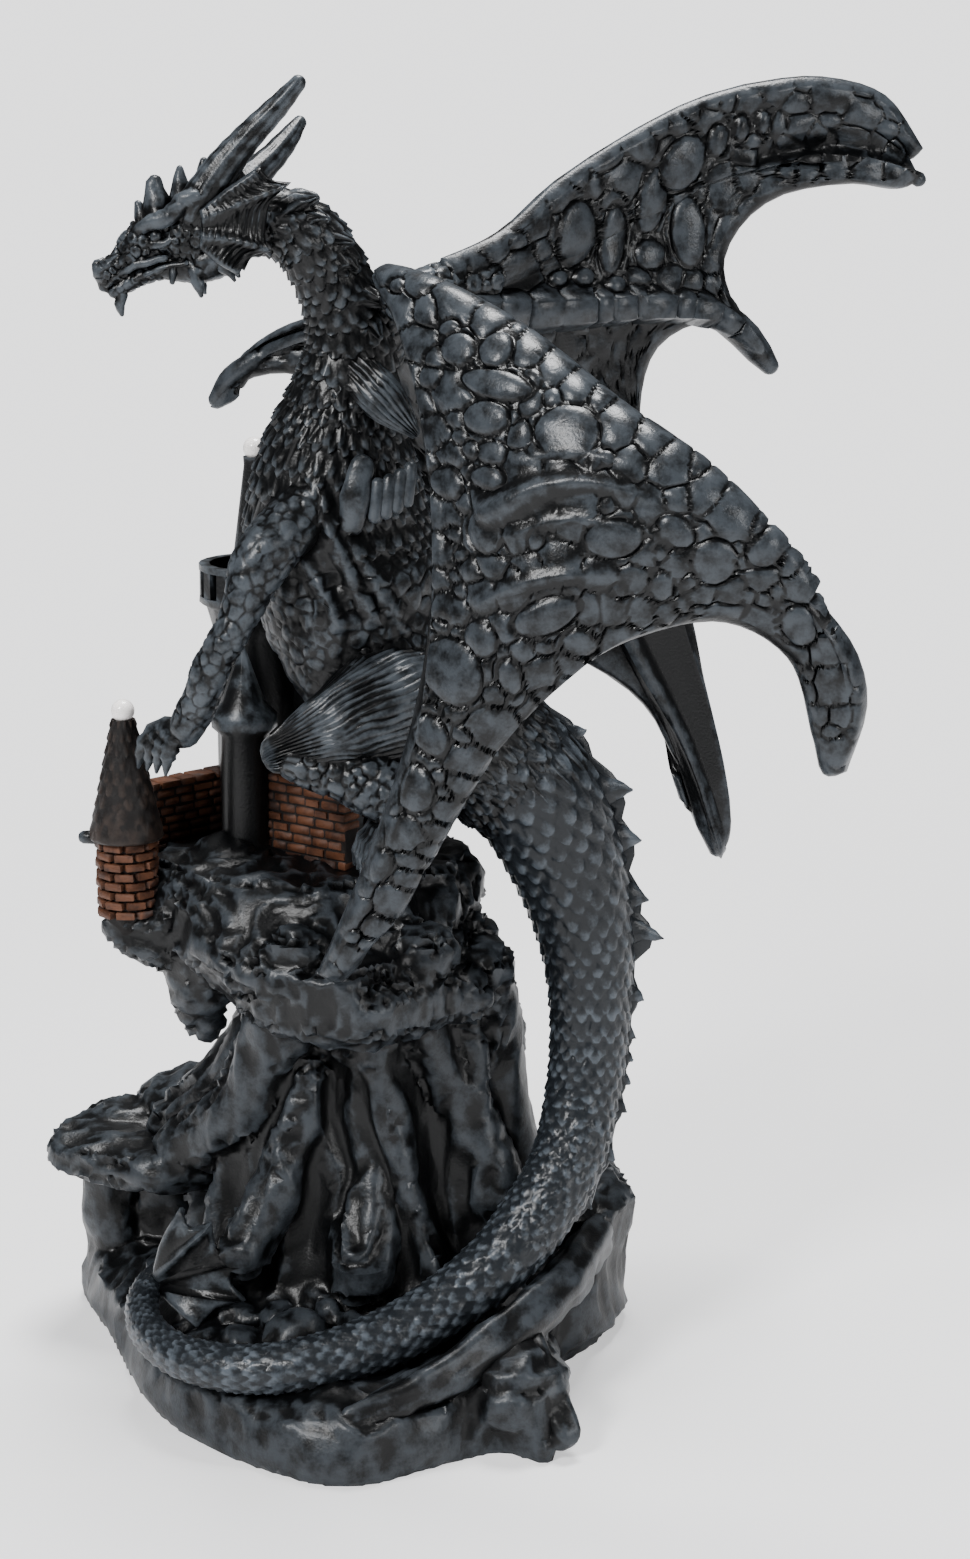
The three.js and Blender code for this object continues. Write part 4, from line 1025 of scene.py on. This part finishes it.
# How far each point stands above the skin round it, for the dry-brushed paint
def markRelief(mesh, rounds, name, size):
    spots, out = meshPoints(mesh)
    count = len(spots)
    edges = np.empty(len(mesh.edges) * 2, np.int64)
    mesh.edges.foreach_get("vertices", edges)
    a, b = edges.reshape(-1, 2).T
    share = np.bincount(a, minlength=count) + np.bincount(b, minlength=count)
    calm = spots.copy()
    for _ in range(rounds):
        sums = [np.bincount(a, calm[b, k], count) + np.bincount(b, calm[a, k], count) for k in range(3)]
        calm = np.stack(sums, 1) / np.maximum(share, 1)[:, None]
    height = np.sum((spots - calm) * out, axis=1) / (size * mm)
    mark = mesh.attributes.new(name, "FLOAT", "POINT")
    mark.data.foreach_set("value", np.clip(height, -1, 1).astype(np.float32))


markRelief(lean, 3, "fineRelief", 0.25)
markRelief(lean, 16, "broadRelief", 0.8)
lean.shade_smooth()
lean.set_sharp_from_angle(angle=math.radians(sharpAngle))
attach(casting, "root")
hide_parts("dragon_statue")

pearls = (("turretPearl", "turret_bead", castle["turret"]), ("keepPearl", "keep_bead", castle["keep"]))
for name, node, tower in pearls:
    bm = bmesh.new()
    spot = Vector((tower["x"], tower["y"], tower["apex"] + 0.7 * castle["bead"])) * mm
    bmesh.ops.create_uvsphere(bm, u_segments=40, v_segments=20, radius=castle["bead"] * mm,
                              matrix=Matrix.Translation(spot))
    mesh = newMesh(name, bm)
    mesh.shade_smooth()
    mesh.materials.append(pearl)
    bead = newObject(name, mesh)
    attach(bead, "root")
    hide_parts(node)


# Paint: dark in the hollows, brushed pale on what stands up
def brushGroup():
    group = bpy.data.node_groups.new("dryBrush", "ShaderNodeTree")
    face = group.interface
    for name, value in (("Under", (0.01, 0.01, 0.012, 1)), ("High", (0.1, 0.11, 0.12, 1))):
        face.new_socket(name, in_out="INPUT", socket_type="NodeSocketColor").default_value = value
    face.new_socket("Amount", in_out="INPUT", socket_type="NodeSocketFloat").default_value = 1
    face.new_socket("Color", in_out="OUTPUT", socket_type="NodeSocketColor")
    face.new_socket("Grain", in_out="OUTPUT", socket_type="NodeSocketFloat")
    nodes = group.nodes
    link = group.links.new
    given = nodes.new("NodeGroupInput")
    result = nodes.new("NodeGroupOutput")
    fine = nodes.new("ShaderNodeAttribute")
    fine.attribute_name = "fineRelief"
    broad = nodes.new("ShaderNodeAttribute")
    broad.attribute_name = "broadRelief"
    place = nodes.new("ShaderNodeTexCoord")
    patch = nodes.new("ShaderNodeTexNoise")
    patch.inputs["Scale"].default_value = 280
    patch.inputs["Detail"].default_value = 5
    speck = nodes.new("ShaderNodeTexNoise")
    speck.inputs["Scale"].default_value = 1500
    speck.inputs["Detail"].default_value = 2
    link(place.outputs["Object"], patch.inputs["Vector"])
    link(place.outputs["Object"], speck.inputs["Vector"])

    def sums(mode, a, b):
        node = nodes.new("ShaderNodeMath")
        node.operation = mode
        for socket, value in zip(node.inputs, (a, b)):
            if isinstance(value, (int, float)):
                socket.default_value = value
            else:
                link(value, socket)
        return node.outputs[0]

    level = sums("MULTIPLY", fine.outputs["Fac"], 0.42)
    level = sums("ADD", level, sums("MULTIPLY", broad.outputs["Fac"], 0.25))
    level = sums("ADD", level, sums("MULTIPLY", sums("SUBTRACT", patch.outputs["Fac"], 0.5), 2))
    level = sums("ADD", level, sums("MULTIPLY", sums("SUBTRACT", speck.outputs["Fac"], 0.5), 0.5))
    spread = nodes.new("ShaderNodeMapRange")
    spread.interpolation_type = "SMOOTHSTEP"
    spread.inputs["From Min"].default_value = 0.05
    spread.inputs["From Max"].default_value = 1.05
    link(level, spread.inputs["Value"])
    mask = sums("MULTIPLY", spread.outputs["Result"], given.outputs["Amount"])
    mix = nodes.new("ShaderNodeMix")
    mix.data_type = "RGBA"
    link(mask, mix.inputs["Factor"])
    link(given.outputs["Under"], mix.inputs[6])
    link(given.outputs["High"], mix.inputs[7])
    link(mix.outputs[2], result.inputs["Color"])
    link(speck.outputs["Fac"], result.inputs["Grain"])
    return group


dryBrush = brushGroup()


def paint(material, under, high, amount, rough):
    tree = material.node_tree
    shader = tree.nodes["Principled BSDF"]
    brush = tree.nodes.new("ShaderNodeGroup")
    brush.node_tree = dryBrush
    brush.inputs["Under"].default_value = (*under, 1)
    brush.inputs["High"].default_value = (*high, 1)
    brush.inputs["Amount"].default_value = amount
    tree.links.new(brush.outputs["Color"], shader.inputs["Base Color"])
    bump = tree.nodes.new("ShaderNodeBump")
    bump.inputs["Strength"].default_value = 0.25
    bump.inputs["Distance"].default_value = 0.3 * mm
    tree.links.new(brush.outputs["Grain"], bump.inputs["Height"])
    tree.links.new(bump.outputs["Normal"], shader.inputs["Normal"])
    shader.inputs["Roughness"].default_value = rough
    shader.inputs["Specular IOR Level"].default_value = 0.25


paint(resin, (0.001, 0.0012, 0.0015), (0.051, 0.06, 0.07), 0.9, 0.34)
# Wings: the black resin with its pale tone lowered, as painted shade where the lamps light the wings strongly
paint(shadedWingPaint, (0.001, 0.0012, 0.0015), (0.0365, 0.043, 0.0505), 0.9, 0.32)
# Tail: the black resin with both tones raised, as painted light standing in for light falling on the tail
paint(litTailPaint, (0.009, 0.011, 0.0135), (0.068, 0.081, 0.096), 0.95, 0.32)
paint(stonePaint, (0.001, 0.0012, 0.0015), (0.0305, 0.036, 0.0425), 0.9, 0.38)
paint(brickPaint, (0.02, 0.0075, 0.004), (0.1, 0.038, 0.018), 0.85, 0.6)
paint(mortarPaint, (0.003, 0.002, 0.0018), (0.016, 0.011, 0.009), 0.6, 0.7)
paint(tilePaint, (0.003, 0.002, 0.0018), (0.026, 0.017, 0.013), 0.8, 0.5)
shader = pearl.node_tree.nodes["Principled BSDF"]
shader.inputs["Base Color"].default_value = (0.82, 0.79, 0.77, 1)
shader.inputs["Roughness"].default_value = 0.15

bm = bmesh.new()
bmesh.ops.create_grid(bm, x_segments=1, y_segments=1, size=4)
floor = newObject("floor", newMesh("floor", bm))
floorPaint = makeMaterial("floorPaint")
tree = floorPaint.node_tree
pale = tree.nodes["Principled BSDF"]
pale.inputs["Base Color"].default_value = (0.86, 0.86, 0.87, 1)
pale.inputs["Roughness"].default_value = 0.8
bright = tree.nodes.new("ShaderNodeEmission")
bright.inputs["Color"].default_value = (0.96, 0.96, 0.97, 1)
bright.inputs["Strength"].default_value = backdropGlow
place = tree.nodes.new("ShaderNodeTexCoord")
away = tree.nodes.new("ShaderNodeVectorMath")
away.operation = "LENGTH"
fade = tree.nodes.new("ShaderNodeMapRange")
fade.interpolation_type = "SMOOTHSTEP"
fade.inputs["From Min"].default_value = 0.1
fade.inputs["From Max"].default_value = 0.7
fade.inputs["To Min"].default_value = 0.3
look = tree.nodes.new("ShaderNodeLightPath")
both = tree.nodes.new("ShaderNodeMath")
both.operation = "MULTIPLY"
blend = tree.nodes.new("ShaderNodeMixShader")
tree.links.new(place.outputs["Object"], away.inputs[0])
tree.links.new(away.outputs["Value"], fade.inputs["Value"])
tree.links.new(fade.outputs["Result"], both.inputs[0])
tree.links.new(look.outputs["Is Camera Ray"], both.inputs[1])
tree.links.new(both.outputs[0], blend.inputs[0])
tree.links.new(pale.outputs[0], blend.inputs[1])
tree.links.new(bright.outputs[0], blend.inputs[2])
tree.links.new(blend.outputs[0], tree.nodes["Material Output"].inputs["Surface"])
floor.data.materials.append(floorPaint)

aim = (0.02, 0, 0.15)
lamps = [
    ("keyLamp", (-0.7, -1.0, 1.1), 32, 0.35),
    ("fillLamp", (1.0, -0.9, 0.6), 9, 0.5),
    ("topLamp", (0.1, 0.3, 1.4), 38, 0.5),
]
for name, spot, power, size in lamps:
    light = bpy.data.lights.new(name, "AREA")
    light.energy = power
    light.size = size
    lamp = newObject(name, light)
    lamp.location = spot
    lamp.rotation_euler = (Vector(aim) - Vector(spot)).to_track_quat("-Z", "Y").to_euler()

world = bpy.data.worlds.new("studio")
world.use_nodes = True
sky = world.node_tree
glow = sky.nodes["Background"]
glow.inputs["Color"].default_value = (0.95, 0.97, 1, 1)
glow.inputs["Strength"].default_value = 0.16
backdrop = sky.nodes.new("ShaderNodeBackground")
backdrop.inputs["Color"].default_value = (0.96, 0.96, 0.97, 1)
backdrop.inputs["Strength"].default_value = backdropGlow
seen = sky.nodes.new("ShaderNodeLightPath")
choose = sky.nodes.new("ShaderNodeMixShader")
sky.links.new(seen.outputs["Is Camera Ray"], choose.inputs[0])
sky.links.new(glow.outputs[0], choose.inputs[1])
sky.links.new(backdrop.outputs[0], choose.inputs[2])
sky.links.new(choose.outputs[0], sky.nodes["World Output"].inputs["Surface"])
bpy.context.scene.world = world

lens = bpy.data.cameras.new("camera")
lens.sensor_fit = "VERTICAL"
photoHeight = 1559  # pixels
focalLength = 2916.7  # pixels
lens.angle = 2 * math.atan(photoHeight / 2 / focalLength)
camera = newObject("camera", lens)
camera.location = (0.034, -0.6792, 0.3163)
camera.rotation_euler = (math.radians(76), 0, 0)
bpy.context.scene.camera = camera
